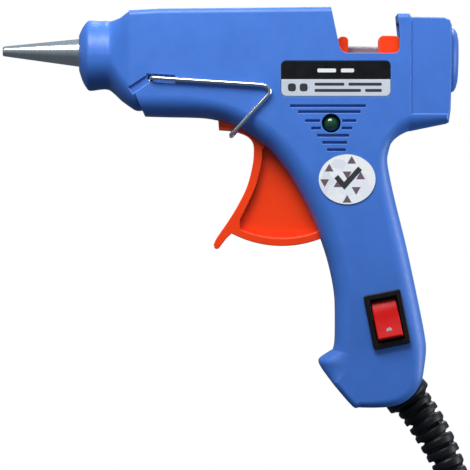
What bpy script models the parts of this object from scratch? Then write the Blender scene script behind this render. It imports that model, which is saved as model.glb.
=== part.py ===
"""Mini hot-melt glue gun, held by its grip, with its lead tied up in a hank.

Metres, +Z up. X runs along the barrel with the nozzle at -X, Y runs across, and the
origin is the middle of the grip, where a hand holds it. Lengths below are in mm.
"""
import bmesh
import bpy
from math import atan2, cos, hypot, pi, radians, sin
from mathutils import Matrix, Vector

MM = 0.001

# Housing
HALF_WIDTH = 13.0
WALL = 2.2
SEAM_HALF_GAP = 0.15
CLEAR = 0.3

# Feed axis: stick, carriage, melt chamber and nozzle lie on it. It rises towards the nozzle.
FEED_HEIGHT = 59.6
FEED_TILT = 1.15
STICK_RADIUS = 3.5
BORE_RADIUS = 3.9

# Trigger
TRIGGER_PIVOT = (-40.6, 44.7)
TRIGGER_HALF_WIDTH = 6.8
TRIGGER_SWEEP = (-24.4, 36.2, 31.2)
DRIVE_PIN = (-36.0, 59.0)
FORK_INNER = 8.1
FORK_OUTER = 9.8
SPRING_HOLD = (-5.2, 5.0)
SPRING_RADIUS = 1.8

# Tooth pin of the carriage, along and above the feed axis
PAWL_PIN = (7.7, -6.5)

# Wire stand
STAND_PIVOT = (-62.4, 53.6)
STAND_WIRE_RADIUS = 0.6
STAND_HALF_WIDTH = 14.0

# Switch, tilted with the grip
SWITCH_CENTRE = (5.9, -16.2)
SWITCH_TILT = 11.2

# Housing screws, put in from the far side
HOUSING_SCREWS = ((-57.0, 50.3), (-24.0, 69.3), (18.6, 47.6), (-1.5, 0.8), (-2.2, -36.8))
SCREW_HEAD_Y = 12.1
SCREW_HEAD_RADIUS = 2.5
SCREW_SHANK_RADIUS = 1.2
PILLAR_RADIUS = 2.6
SEAT_RADIUS = 3.9
INNER_FACE = 11.6

# Lead
CORD_RADIUS = 2.5
CORD_EXIT = (27.4, 0.0, -66.5)
HANK_CENTRE_X = 8.2
HANK_TOP = -98.6
HANK_RUN = 49.9
HANK_BEND = 22.5
HANK_HALF_THICKNESS = 10.0
CORD_END_Z = -199.7
PLUG_LENGTH = 34.0
PIN_SPREAD = 9.5

BLUE = (0.075, 0.205, 0.680)
ORANGE = (0.900, 0.055, 0.012)
RED = (0.600, 0.008, 0.008)
BLACK = (0.012, 0.012, 0.014)


# ---------------------------------------------------------------- helpers

def clear_scene():
    for item in list(bpy.data.objects):
        bpy.data.objects.remove(item, do_unlink=True)


def make_material(name, colour, roughness, metallic=0.0):
    material = bpy.data.materials.new(name)
    material.use_nodes = True
    shader = material.node_tree.nodes["Principled BSDF"]
    shader.inputs["Base Color"].default_value = (*colour, 1.0)
    shader.inputs["Roughness"].default_value = roughness
    shader.inputs["Metallic"].default_value = metallic
    material.diffuse_color = (*colour, 1.0)
    return material


def add_object(name, bm, material=None, parent=None, origin=None, sharp=35.0):
    """Turn a bmesh in mm into an object in metres, with its origin at the given point."""
    bmesh.ops.recalc_face_normals(bm, faces=bm.faces)
    if origin is not None:
        bmesh.ops.translate(bm, vec=-Vector(origin), verts=bm.verts)
    bmesh.ops.scale(bm, vec=(MM, MM, MM), verts=bm.verts)
    mesh = bpy.data.meshes.new(name)
    bm.to_mesh(mesh)
    bm.free()
    mesh.shade_smooth()
    mesh.set_sharp_from_angle(angle=radians(sharp))
    item = bpy.data.objects.new(name, mesh)
    bpy.context.scene.collection.objects.link(item)
    if material is not None:
        mesh.materials.append(material)
    if parent is not None:
        item.parent = parent
    if origin is not None:
        item.location = Vector(origin) * MM
    return item


def as_cutter(item):
    item.hide_render = True
    item.display_type = "WIRE"
    return item


def cut(item, tool, operation="DIFFERENCE"):
    modifier = item.modifiers.new(tool.name, "BOOLEAN")
    modifier.object = tool
    modifier.operation = operation
    modifier.solver = "EXACT"


def smooth_through(points, steps):
    """Points on a Catmull-Rom curve through the given points, ends included."""
    ends = [points[0]] + list(points) + [points[-1]]
    result = []
    for i in range(1, len(ends) - 2):
        before, start, end, after = ends[i - 1:i + 3]
        for step in range(steps):
            t = step / steps
            weights = (
                -t + 2 * t * t - t ** 3,
                2 - 5 * t * t + 3 * t ** 3,
                t + 4 * t * t - 3 * t ** 3,
                -t * t + t ** 3,
            )
            stack = zip(before, start, end, after)
            result.append(tuple(0.5 * sum(w * v for w, v in zip(weights, row)) for row in stack))
    result.append(tuple(points[-1]))
    return result


def circle_points(centre, radius, start, end, steps):
    """Points on an arc in the XZ plane, angles in degrees from +X towards +Z."""
    result = []
    for step in range(steps + 1):
        angle = radians(start + (end - start) * step / steps)
        result.append((centre[0] + radius * cos(angle), centre[1] + radius * sin(angle)))
    return result


def skin_loops(loops):
    """Closed solid through loops of equal length, with both ends capped."""
    bm = bmesh.new()
    rings = [[bm.verts.new(point) for point in loop] for loop in loops]
    count = len(rings[0])
    for first, second in zip(rings, rings[1:]):
        for i in range(count):
            j = (i + 1) % count
            bm.faces.new((first[i], first[j], second[j], second[i]))
    bm.faces.new(rings[0])
    bm.faces.new(list(reversed(rings[-1])))
    return bm


def prism(outline, y_low, y_high):
    """An outline in the XZ plane, extruded along Y."""
    return skin_loops([[(x, y, z) for x, z in outline] for y in (y_low, y_high)])


def turned(profile, steps, centre=(0.0, 0.0)):
    """A closed profile of (x, radius) turned about the line through (y, z) along X."""
    bm = bmesh.new()
    rings = []
    for x, radius in profile:
        if radius <= 0.0:
            rings.append([bm.verts.new((x, centre[0], centre[1]))])
            continue
        ring = []
        for step in range(steps):
            angle = 2 * pi * step / steps
            point = (x, centre[0] + radius * cos(angle), centre[1] + radius * sin(angle))
            ring.append(bm.verts.new(point))
        rings.append(ring)
    closed = profile[0][1] > 0.0
    pairs = list(zip(rings, rings[1:]))
    if closed:
        pairs.append((rings[-1], rings[0]))
    for first, second in pairs:
        for i in range(steps):
            j = (i + 1) % steps
            corners = [first[i % len(first)], first[j % len(first)]]
            corners += [second[j % len(second)], second[i % len(second)]]
            unique = []
            for corner in corners:
                if corner not in unique:
                    unique.append(corner)
            bm.faces.new(unique)
    return bm


def rod(centre, radius, y_low, y_high, steps=16):
    """A cylinder along Y at (x, z)."""
    return prism(circle_points(centre, radius, 0, 360 - 360 / steps, steps - 1), y_low, y_high)


def block(low, high):
    bm = bmesh.new()
    bmesh.ops.create_cube(bm, size=1.0)
    low, high = Vector(low), Vector(high)
    bmesh.ops.scale(bm, vec=high - low, verts=bm.verts)
    bmesh.ops.translate(bm, vec=(high + low) / 2, verts=bm.verts)
    return bm


def join(*parts):
    """Copy several bmeshes into one; the pieces must not touch each other."""
    result = bmesh.new()
    for part in parts:
        mesh = bpy.data.meshes.new("joined")
        part.to_mesh(mesh)
        part.free()
        result.from_mesh(mesh)
        bpy.data.meshes.remove(mesh)
    return result


def rounded_box(low, high, radius, steps=3):
    """A box with its four edges along Y rounded."""
    outline = []
    corners = (
        (high[0] - radius, high[2] - radius, 0),
        (low[0] + radius, high[2] - radius, 90),
        (low[0] + radius, low[2] + radius, 180),
        (high[0] - radius, low[2] + radius, 270),
    )
    for x, z, angle in corners:
        outline += circle_points((x, z), radius, angle, angle + 90, steps)
    return prism(outline, low[1], high[1])


def tube(name, points, radius, material, resolution=2, parent=None):
    """A round cord through points in mm."""
    curve = bpy.data.curves.new(name, "CURVE")
    curve.dimensions = "3D"
    curve.bevel_depth = radius * MM
    curve.bevel_resolution = resolution
    curve.use_fill_caps = True
    spline = curve.splines.new("POLY")
    spline.points.add(len(points) - 1)
    for target, point in zip(spline.points, points):
        target.co = (*(Vector(point) * MM), 1.0)
    curve.materials.append(material)
    item = bpy.data.objects.new(name, curve)
    bpy.context.scene.collection.objects.link(item)
    item.parent = parent
    return item


def evenly_spaced(points, spacing):
    """Points a fixed distance apart along a smooth curve through the given points."""
    fine = [Vector(point) for point in smooth_through(points, 24)]
    lengths = [0.0]
    for first, second in zip(fine, fine[1:]):
        lengths.append(lengths[-1] + (second - first).length)
    count = max(2, round(lengths[-1] / spacing))
    result = []
    index = 0
    for step in range(count + 1):
        target = lengths[-1] * step / count
        while index < len(lengths) - 2 and lengths[index + 1] < target:
            index += 1
        share = (target - lengths[index]) / max(lengths[index + 1] - lengths[index], 1e-9)
        result.append(fine[index].lerp(fine[index + 1], min(share, 1.0)))
    return result


# ---------------------------------------------------------------- housing

# Each row is a point on the housing's outline (x, z), the point where its rounded edge
# meets the flat side (x, z), and how far the rounding reaches across (y).
HOUSING_TOP = (
    (-68.8, 73.2, -68.5, 71.6, 1.6),
    (-59.7, 73.7, -59.7, 72.1, 1.6),
    (-38.0, 73.9, -38.0, 72.3, 1.6),
    (-10.1, 74.2, -10.1, 72.6, 1.6),
    (9.2, 72.3, 9.3, 70.9, 1.4),
    (12.5, 72.3, 12.4, 70.9, 1.4),
    (12.9, 71.3, 12.9, 69.9, 1.4),
    (22.6, 71.2, 22.2, 69.7, 1.5),
    (24.1, 70.5, 22.9, 69.2, 1.5),
    (24.7, 69.0, 23.2, 68.3, 1.5),
)
HOUSING_REAR = (
    (24.7, 69.0, 23.2, 68.3, 1.5),
    (24.7, 56.0, 23.2, 56.0, 1.5),
    (24.4, 44.4, 22.9, 45.2, 2.0),
    (23.9, 40.8, 22.5, 43.0, 2.6),
    (13.3, 38.6, 13.2, 43.0, 4.4),
)
HOUSING_BACK = (
    (13.3, 38.6, 13.2, 43.0, 4.4),
    (12.0, 38.3, 11.9, 42.8, 4.5),
    (9.2, 36.7, 9.0, 41.1, 4.5),
    (7.3, 34.8, 6.2, 38.0, 4.2),
    (6.5, 32.4, 3.9, 34.6, 4.0),
    (6.1, 29.9, 3.0, 30.9, 4.0),
    (6.7, 25.8, 3.0, 26.4, 4.5),
    (8.3, 18.5, 3.9, 18.8, 5.0),
    (11.3, 6.4, 6.4, 7.2, 5.0),
    (13.2, -2.1, 8.1, -1.3, 5.0),
    (15.7, -14.0, 10.7, -13.1, 5.0),
    (17.0, -20.9, 12.2, -20.4, 5.0),
    (17.4, -25.0, 12.9, -24.6, 4.8),
    (16.8, -30.2, 13.2, -29.5, 3.6),
    (15.9, -34.4, 13.2, -33.0, 2.8),
    (13.4, -38.3, 11.6, -36.3, 2.6),
    (9.7, -40.8, 8.5, -38.6, 2.4),
    (5.3, -41.7, 4.7, -39.4, 2.4),
)
HOUSING_FOOT = (
    (5.3, -41.7, 4.7, -39.4, 2.4),
    (2.0, -41.8, 1.8, -39.7, 2.2),
    (-2.1, -41.7, -1.7, -39.8, 2.0),
    (-4.0, -41.4, -3.2, -39.9, 2.0),
    (-9.4, -35.2, -8.1, -34.2, 2.4),
)
HOUSING_HOOK = (
    (-9.4, -35.2, -8.1, -34.2, 2.4),
    (-11.2, -32.8, -6.0, -32.0, 4.0),
    (-12.9, -30.4, -4.4, -30.5, 5.0),
    (-13.6, -28.7, -3.8, -29.8, 5.0),
    (-13.1, -27.6, -3.6, -28.9, 5.0),
    (-11.4, -26.4, -3.6, -27.6, 5.0),
    (-9.4, -25.2, -3.8, -26.0, 5.0),
)
HOUSING_FRONT = (
    (-9.4, -25.2, -3.8, -26.0, 5.0),
    (-8.9, -22.6, -4.2, -22.6, 5.0),
    (-8.8, -14.9, -4.3, -14.8, 5.0),
    (-9.1, -8.5, -4.5, -7.8, 5.2),
    (-10.6, -0.8, -5.6, 0.4, 5.6),
    (-12.8, 6.4, -7.6, 8.0, 5.8),
    (-15.7, 13.5, -10.4, 15.6, 6.0),
    (-19.3, 20.7, -14.0, 23.2, 6.0),
    (-22.9, 26.7, -18.1, 29.9, 6.2),
    (-27.6, 32.5, -23.6, 36.6, 6.4),
    (-30.9, 35.3, -27.6, 40.0, 6.4),
    (-34.4, 37.9, -31.6, 42.6, 6.4),
    (-37.9, 39.8, -35.9, 44.7, 6.4),
    (-41.8, 41.3, -40.3, 46.4, 6.4),
    (-46.1, 42.2, -45.4, 47.7, 6.4),
    (-51.0, 42.5, -50.8, 48.5, 6.4),
    (-57.2, 42.6, -57.2, 48.7, 6.4),
    (-64.2, 42.8, -66.8, 48.8, 6.4),
)
HOUSING_NOSE = (
    (-64.2, 42.8, -66.8, 48.8, 6.4),
    (-65.8, 46.4, -67.2, 50.6, 5.0),
    (-67.6, 52.7, -67.8, 54.5, 3.0),
    (-68.2, 60.4, -68.2, 61.5, 1.6),
    (-68.8, 73.2, -68.5, 71.6, 1.6),
)
HOUSING_RUNS = (
    (HOUSING_TOP, 1),
    (HOUSING_REAR, 1),
    (HOUSING_BACK, 2),
    (HOUSING_FOOT, 1),
    (HOUSING_HOOK, 2),
    (HOUSING_FRONT, 2),
    (HOUSING_NOSE, 1),
)
OUTER_STEPS = 3
CAVITY_STEPS = 2
NOSE_START = -64.0
NOSE_WALL = 2.6

# Cross-sections of the nose, from inside the barrel to the collar's front:
# x, top z, bottom z, half width, top corner radius, bottom corner radius.
NOSE_SECTIONS = (
    (-64.6, 72.6, 44.6, 12.4, 2.0, 6.0),
    (-66.8, 73.2, 44.5, 12.95, 2.0, 6.4),
    (-68.7, 72.9, 45.6, 12.95, 2.4, 6.6),
    (-71.2, 71.3, 47.4, 11.7, 6.0, 8.0),
    (-74.0, 70.5, 50.0, 10.3, 9.9, 9.9),
    (-75.6, 70.6, 50.6, 10.0, 9.8, 9.8),
    (-77.4, 70.5, 50.5, 10.0, 9.8, 9.8),
    (-80.3, 70.7, 50.2, 10.25, 10.0, 10.0),
    (-81.4, 70.0, 51.2, 9.4, 9.2, 9.2),
    (-82.5, 68.4, 53.2, 7.6, 7.4, 7.4),
    (-83.4, 66.4, 56.0, 5.2, 5.0, 5.0),
)


def housing_rows(smoothed=True):
    rows = []
    for run, steps in HOUSING_RUNS:
        rows += smooth_through(run, steps if smoothed else 1)[:-1]
    return rows


def rounded_solid(rows, half_width, steps):
    """A slab whose outline is rounded over to its two flat sides."""
    loops = []
    angles = [90 * step / steps for step in range(steps + 1)]
    for side in (-1, 1):
        for angle in reversed(angles) if side < 0 else angles:
            inward = 1 - cos(radians(angle))
            loop = []
            for x, z, flat_x, flat_z, reach in rows:
                across = half_width - reach * (1 - sin(radians(angle)))
                loop.append((x + (flat_x - x) * inward, side * across, z + (flat_z - z) * inward))
            loops.append(loop)
    return skin_loops(loops)


def cavity_rows(rows):
    """The same outline a wall's thickness further in."""
    inner = []
    for x, z, flat_x, flat_z, reach in rows:
        depth = hypot(flat_x - x, flat_z - z)
        toward = ((flat_x - x) / depth, (flat_z - z) / depth)
        start = (x + toward[0] * WALL, z + toward[1] * WALL)
        further = max(depth - WALL, 0.0) + 0.8
        flat = (start[0] + toward[0] * further, start[1] + toward[1] * further)
        if x < NOSE_START:
            start = (x + NOSE_WALL, min(max(z, 45.0), 71.0))
            flat = (flat_x + NOSE_WALL, min(max(flat_z, 49.6), 70.4))
        inner.append((*start, *flat, max(reach - 0.8, 1.0)))
    return inner


def rounded_section(x, top, bottom, half_width, top_radius, bottom_radius, steps=5):
    corners = (
        (half_width - top_radius, top - top_radius, top_radius, 0),
        (-half_width + top_radius, top - top_radius, top_radius, 90),
        (-half_width + bottom_radius, bottom + bottom_radius, bottom_radius, 180),
        (half_width - bottom_radius, bottom + bottom_radius, bottom_radius, 270),
    )
    loop = []
    for y, z, radius, angle in corners:
        for point in circle_points((y, z), radius, angle, angle + 90, steps):
            loop.append((x, *point))
    return loop


def nose_solid():
    return skin_loops([rounded_section(*section) for section in NOSE_SECTIONS])


def notch_outline():
    corner = circle_points((-5.4, 63.3), 2.5, 190, 270, 3)
    far = circle_points((8.0, 62.4), 1.6, 270, 360, 3)
    return [(-10.6, 76.0)] + corner + far + [(9.7, 66.0), (9.1, 72.0), (9.1, 76.0)]


def slot_outline():
    return [(-43.6, 30.0), (-43.6, 44.8), (-30.0, 46.0), (-8.0, 22.0), (-8.0, 6.3), (-30.0, 6.3)]


def turned_on_feed(profile, steps=24):
    """A shape turned about the feed axis, tilted into place."""
    bm = turned(profile, steps)
    turn = Matrix.Rotation(radians(FEED_TILT), 4, "Y")
    bmesh.ops.transform(bm, matrix=Matrix.Translation((0, 0, FEED_HEIGHT)) @ turn, verts=bm.verts)
    return bm


def switch_matrix(y):
    """Places a shape whose height runs along Z into the tilted switch opening."""
    turn = Matrix.Rotation(radians(-SWITCH_TILT), 4, "Y")
    return Matrix.Translation((SWITCH_CENTRE[0], y, SWITCH_CENTRE[1])) @ turn


def placed(bm, matrix):
    bmesh.ops.transform(bm, matrix=matrix, verts=bm.verts)
    return bm


def relief_point(t):
    """The strain relief's centre line, from the housing at 0 to its end at 1."""
    start, middle, end = (12.5, -39.1), (21.0, -49.6), (CORD_EXIT[0], CORD_EXIT[2])
    weights = ((1 - t) ** 2, 2 * t * (1 - t), t * t)
    x = sum(w * p[0] for w, p in zip(weights, (start, middle, end)))
    z = sum(w * p[1] for w, p in zip(weights, (start, middle, end)))
    return Vector((x, 0.0, z))


RELIEF_ENTRY = Vector((0.63, 0.0, -0.777))
HEEL_CENTRE = (5.3, -30.2)
HEEL_RADIUS = 11.5
RELIEF_RIBS = 8
RELIEF_PITCH = 3.3


def along_relief(profile, steps=14):
    """Rings (distance, radius) on the relief's line: straight inside, curved outside."""
    loops = []
    length = sum((relief_point((i + 1) / 40) - relief_point(i / 40)).length for i in range(40))
    for distance, radius in profile:
        if distance <= 0:
            centre = relief_point(0) + RELIEF_ENTRY * distance
            direction = RELIEF_ENTRY
        else:
            t = distance / length
            centre = relief_point(t)
            direction = (relief_point(t + 0.01) - relief_point(t - 0.01)).normalized()
        side = Vector((direction.z, 0.0, -direction.x))
        ring = []
        for step in range(steps):
            angle = 2 * pi * step / steps
            ring.append(centre + radius * (cos(angle) * side + sin(angle) * Vector((0, 1, 0))))
        loops.append(ring)
    return loops


def stand_recess(side):
    """The two shallow grooves beside each stand hole, a stop for each end of its swing."""
    low, high = sorted((side * (HALF_WIDTH - 0.7), side * (HALF_WIDTH + 1.0)))
    rear = [(-63.6, 54.9), (-63.6, 52.6), (-55.3, 51.9), (-55.3, 54.4)]
    front = [(-61.4, 53.2), (-62.8, 54.9), (-68.9, 50.9), (-67.6, 48.9)]
    return [prism(rear, low, high), prism(front, low, high)]


GROOVES = (
    (45.5, -22.1, -0.2),
    (43.35, -19.8, -1.7),
    (41.2, -17.8, -13.4),
    (41.2, -7.0, -3.0),
    (39.05, -16.0, -13.2),
    (39.05, -7.2, -4.1),
    (36.95, -14.3, -5.0),
    (34.9, -12.8, -5.6),
    (32.8, -11.4, -6.0),
)


def groove_cutters(side):
    low, high = sorted((side * (HALF_WIDTH - 0.8), side * (HALF_WIDTH + 1.0)))
    cutters = []
    for z, start, end in GROOVES:
        cutters.append(block((start, low, z - 0.53), (end, high, z + 0.53)))
    return cutters


def build_housing(materials):
    rows = housing_rows()
    tools = {}

    def tool(name, bm):
        tools[name] = as_cutter(add_object("tool_" + name, bm))
        return tools[name]

    tool("cavity", rounded_solid(cavity_rows(housing_rows(False)), HALF_WIDTH - 2.0, CAVITY_STEPS))
    tool("nose", nose_solid())
    tool("nose_bore", turned_on_feed([(-81.2, 0), (-81.2, 8.3), (-63.0, 8.3), (-63.0, 0)]))
    tool("nozzle_hole", turned_on_feed([(-86.0, 0), (-86.0, 4.6), (-80.0, 4.6), (-80.0, 0)]))
    inlet = [(23.0, 0), (23.0, 9.4), (25.3, 9.4), (26.3, 8.2), (26.9, 6.0), (26.9, 0)]
    tool("inlet", turned_on_feed(inlet))
    tool("inlet_hole", turned_on_feed([(19.0, 0), (19.0, 4.2), (30.0, 4.2), (30.0, 0)]))
    tool("notch", prism(notch_outline(), -20, 20))
    tool("slot", prism(slot_outline(), -7.4, 7.4))
    tool("cradle", block((-51.0, -INNER_FACE, 46.0), (-49.6, INNER_FACE, 64.0)))
    tool("cradle_hole", turned_on_feed([(-55.0, 0), (-55.0, 6.5), (-45.0, 6.5), (-45.0, 0)]))
    pillars = [rod(place, PILLAR_RADIUS, -INNER_FACE, INNER_FACE, 14) for place in HOUSING_SCREWS]
    tool("pillars", join(*pillars))
    seats = [rod(place, SEAT_RADIUS, 8.4, INNER_FACE, 18) for place in HOUSING_SCREWS]
    tool("seats", join(*seats))
    drill = SCREW_SHANK_RADIUS + CLEAR
    tool("drills", join(*[rod(place, drill, -9.6, 20, 12) for place in HOUSING_SCREWS]))
    counterbore = SCREW_HEAD_RADIUS + CLEAR
    tool("counterbores", join(*[rod(place, counterbore, 10.3, 20, 18) for place in HOUSING_SCREWS]))
    tool("pivot_holes", rod(TRIGGER_PIVOT, 1.8, -10.6, 10.6, 14))
    tool("stand_holes", rod(STAND_PIVOT, 0.95, -20, 20, 12))
    tool("grooves_near", join(*groove_cutters(-1)))
    tool("grooves_far", join(*groove_cutters(1)))
    for side, name in ((-1, "near"), (1, "far")):
        rear, front = stand_recess(side)
        tool("recess_rear_" + name, rear)
        tool("recess_front_" + name, front)
        low, high = sorted((side * 12.4, side * 20.0))
        tool("step_" + name, block((12.9, low, 43.2), (30.0, high, 80.0)))
    tool("led_hole", rod((-10.2, 40.5), 2.75, -20, -9, 20))
    tool("switch_hole", placed(block((-4.9, -4, -7.1), (4.9, 4, 7.1)), switch_matrix(-13)))
    tool("label_pocket", rounded_box((-24.8, -14, 48.2), (7.1, -12.5, 58.6), 1.6))
    tool("relief_hole", skin_loops(along_relief([(-10.0, 3.7), (4.0, 3.7)])))
    posts = [rod(place, 2.0, -2.4, INNER_FACE, 12) for place in CLAMP_SCREWS]
    tool("clamp_posts", join(*posts))
    tool("clamp_drills", join(*[rod(place, 1.1, -6.0, 7.5, 10) for place in CLAMP_SCREWS]))

    for name, side in (("left_shell", -1), ("right_shell", 1)):
        shell = add_object(name, rounded_solid(rows, HALF_WIDTH, OUTER_STEPS), materials["blue"])
        low, high = sorted((-side * 40.0, side * SEAM_HALF_GAP))
        half = as_cutter(add_object("tool_half_" + name, block((-150, low, -100), (100, high, 100))))
        cut(shell, tools["nose"], "UNION")
        cut(shell, tools["inlet"], "UNION")
        for tool_name in ("cavity", "nose_bore"):
            cut(shell, tools[tool_name])
        cut(shell, tools["cradle"], "UNION")
        cut(shell, tools["pillars"], "UNION")
        if side > 0:
            cut(shell, tools["seats"], "UNION")
            cut(shell, tools["clamp_posts"], "UNION")
        near = "near" if side < 0 else "far"
        names = ["nozzle_hole", "inlet_hole", "notch", "slot", "cradle_hole", "drills"]
        names += ["pivot_holes", "stand_holes", "relief_hole", "grooves_" + near]
        names += ["recess_rear_" + near, "recess_front_" + near, "step_" + near]
        if side < 0:
            names += ["led_hole", "switch_hole", "label_pocket"]
        else:
            names += ["counterbores", "clamp_drills"]
        for tool_name in names:
            cut(shell, tools[tool_name])
        cut(shell, half)


# ---------------------------------------------------------------- heater and feed

def build_feed(materials, feed):
    nozzle = [
        (-105.7, 0.75), (-105.7, 1.25), (-105.3, 1.5), (-83.6, 4.05), (-80.5, 4.15),
        (-80.5, 4.9), (-79.0, 4.9), (-79.0, 3.6), (-72.5, 3.6), (-72.5, 2.6),
        (-81.0, 2.6), (-98.0, 0.75),
    ]
    add_object("nozzle", turned(nozzle, 24), materials["aluminium"], feed)
    chamber = [(-78.6, 5.9), (-47.4, 5.9), (-47.4, BORE_RADIUS), (-78.6, BORE_RADIUS)]
    body = add_object("melt_chamber", turned(chamber, 24), materials["cast"], feed)
    saddle = block((-66.0, -4.6, 4.2), (-52.5, 4.6, 6.6))
    saddle = as_cutter(add_object("tool_saddle", saddle, None, feed))
    bore = [(-90, 0), (-90, BORE_RADIUS), (-40, BORE_RADIUS), (-40, 0)]
    bore_tool = as_cutter(add_object("tool_chamber_bore", turned(bore, 24), None, feed))
    cut(body, saddle, "UNION")
    cut(body, bore_tool)
    heater = block((-65.2, -4.0, 6.9), (-53.2, 4.0, 9.1))
    add_object("ptc_heater", heater, materials["black_part"], feed)
    outer, inner = 5.8, 5.15
    clip = [(-outer, 4.6), (-outer, 9.9), (outer, 9.9), (outer, 4.6)]
    clip += [(inner, 4.6), (inner, 9.4), (-inner, 9.4), (-inner, 4.6)]
    loops = [[(x, y, z) for y, z in clip] for x in (-62.2, -56.2)]
    add_object("heater_clip", skin_loops(loops), materials["steel"], feed)
    sleeve = [(-47.1, 5.3), (-38.4, 5.3), (-38.4, BORE_RADIUS), (-47.1, BORE_RADIUS)]
    add_object("inlet_sleeve", turned(sleeve, 20), materials["silicone"], feed)
    band = [(-45.4, 6.1), (-43.6, 6.1), (-43.6, 5.6), (-45.4, 5.6)]
    add_object("sleeve_band", turned(band, 20), materials["steel"], feed)
    stick = [(-67.4, 0), (-67.4, 2.9), (-66.4, STICK_RADIUS), (25.4, STICK_RADIUS), (25.4, 0)]
    add_object("glue_stick", turned(stick, 24), materials["glue"], feed)
    build_carriage(materials, feed)


def carriage_block(front, rear, top):
    return rounded_box((front, -5.8, -6.1), (rear, 5.8, top), 1.2)


def build_carriage(materials, feed):
    carriage = add_object("carriage", carriage_block(-8.2, -5.2, 6.1), materials["orange"], feed)
    pieces = {"rear": carriage_block(3.7, 9.6, 6.6)}
    for side, name in ((-1, "near"), (1, "far")):
        low, high = sorted((side * 4.5, side * 7.8))
        pieces["rail_" + name] = block((-7.9, low, -5.4), (9.3, high, 0.4))
        low, high = sorted((side * 6.1, side * 7.8))
        pieces["arm_" + name] = block((-39.0, low, -3.6), (-7.0, high, 2.6))
    for name, bm in pieces.items():
        tool = as_cutter(add_object("tool_carriage_" + name, bm, None, feed))
        cut(carriage, tool, "UNION")
    bore = turned([(-20, 0), (-20, BORE_RADIUS), (20, BORE_RADIUS), (20, 0)], 20)
    pin_x = DRIVE_PIN[0]
    slots = block((pin_x - 1.75, -9.0, -2.6), (pin_x + 1.75, 9.0, 1.6))
    pocket = block((4.2, -3.0, -6.4), (9.0, 3.0, -3.0))
    for name, bm in (("bore", bore), ("slots", slots), ("pocket", pocket)):
        cut(carriage, as_cutter(add_object("tool_carriage_" + name, bm, None, feed)))
    tooth = [(4.7, -7.4), (8.5, -7.4), (8.5, -5.4), (7.2, -3.95), (4.9, -3.95), (5.2, -5.0)]
    origin = (PAWL_PIN[0], 0, PAWL_PIN[1])
    pawl = add_object("grip_pawl", prism(tooth, -2.6, 2.6), materials["steel"], feed, origin)
    hole = as_cutter(add_object("tool_pawl_hole", rod(PAWL_PIN, 0.75, -9, 9, 10), None, feed))
    cut(pawl, hole)
    cut(carriage, hole)
    add_object("pawl_pin", rod(PAWL_PIN, 0.45, -5.4, 5.4, 10), materials["steel"], feed)


# ---------------------------------------------------------------- trigger

TRIGGER_FACE = (
    (-42.7, 38.8), (-38.6, 38.4), (-35.0, 37.3), (-33.0, 35.5), (-32.5, 33.0), (-32.9, 28.4),
    (-34.5, 22.3), (-37.1, 16.9), (-39.9, 12.3), (-43.2, 7.5), (-44.2, 5.4),
)
TRIGGER_TAIL = ((-43.9, 4.3), (-42.9, 4.2), (-41.9, 5.4), (-40.6, 7.1))
TRIGGER_HIDDEN = (
    (-8.2, 16.0), (-13.0, 26.0), (-20.0, 36.0), (-29.0, 44.0), (-35.0, 48.2), (-41.2, 48.4),
    (-43.1, 45.6),
)
TRIGGER_SHOULDER = ((-42.0, 46.6), (-36.4, 46.6), (-35.8, 50.4), (-41.6, 50.4))
TRIGGER_FORK = (
    (-41.9, 48.6), (-36.0, 48.6), (-34.0, 57.0), (-33.9, 60.2), (-36.0, 61.9), (-38.2, 60.9),
)


def sweep_angle(x, z):
    return atan2(z - TRIGGER_SWEEP[1], x - TRIGGER_SWEEP[0]) * 180 / pi


def trigger_outline():
    start = sweep_angle(-39.0, 8.6)
    end = sweep_angle(-8.3, 9.4)
    foot = circle_points(TRIGGER_SWEEP[:2], TRIGGER_SWEEP[2], start, end, 12)
    return smooth_through(TRIGGER_FACE, 2) + list(TRIGGER_TAIL) + foot + list(TRIGGER_HIDDEN)


def recess_outline():
    """The hollow in each side of the trigger, inside its front and lower rims."""
    front = ((-30.0, 33.0), (-30.4, 28.4), (-32.0, 22.3), (-34.4, 16.9), (-36.6, 12.6))
    start = sweep_angle(-36.3, 10.6)
    end = sweep_angle(-10.5, 11.6)
    foot = circle_points(TRIGGER_SWEEP[:2], TRIGGER_SWEEP[2] - 2.2, start, end, 8)
    return list(front) + foot + [(-14.0, 22.0), (-20.0, 31.0), (-27.0, 36.0)]


def build_trigger(materials):
    pivot = (TRIGGER_PIVOT[0], 0.0, TRIGGER_PIVOT[1])
    solid = prism(trigger_outline(), -TRIGGER_HALF_WIDTH, TRIGGER_HALF_WIDTH)
    trigger = add_object("trigger", solid, materials["orange"], None, pivot)
    for side, name in ((-1, "near"), (1, "far")):
        low, high = sorted((side * 3.2, side * 9.0))
        recess = as_cutter(add_object("tool_recess_" + name, prism(recess_outline(), low, high)))
        cut(trigger, recess)
    shoulder = prism(TRIGGER_SHOULDER, -FORK_OUTER, FORK_OUTER)
    cut(trigger, as_cutter(add_object("tool_shoulder", shoulder)), "UNION")
    for side, name in ((-1, "near"), (1, "far")):
        low, high = sorted((side * FORK_INNER, side * (FORK_OUTER - 0.1)))
        fork = as_cutter(add_object("tool_fork_" + name, prism(TRIGGER_FORK, low, high)))
        low, high = sorted((side * 6.3, side * (FORK_INNER + 0.5)))
        stub = as_cutter(add_object("tool_stub_" + name, rod(DRIVE_PIN, 1.3, low, high, 14)))
        cut(trigger, fork, "UNION")
        cut(trigger, stub, "UNION")
    bore = as_cutter(add_object("tool_trigger_bore", rod(TRIGGER_PIVOT, 1.8, -12, 12, 14)))
    cut(trigger, bore)
    eye = as_cutter(add_object("tool_spring_eye", rod((-11.4, 14.2), 0.9, -12, 12, 10)))
    cut(trigger, eye)
    add_object("trigger_pin", rod(TRIGGER_PIVOT, 1.5, -10.3, 10.3, 16), materials["steel"])
    tube("return_spring", spring_coil(7, 8, 4.6, 12.2), 0.3, materials["steel"], 0)


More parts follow.
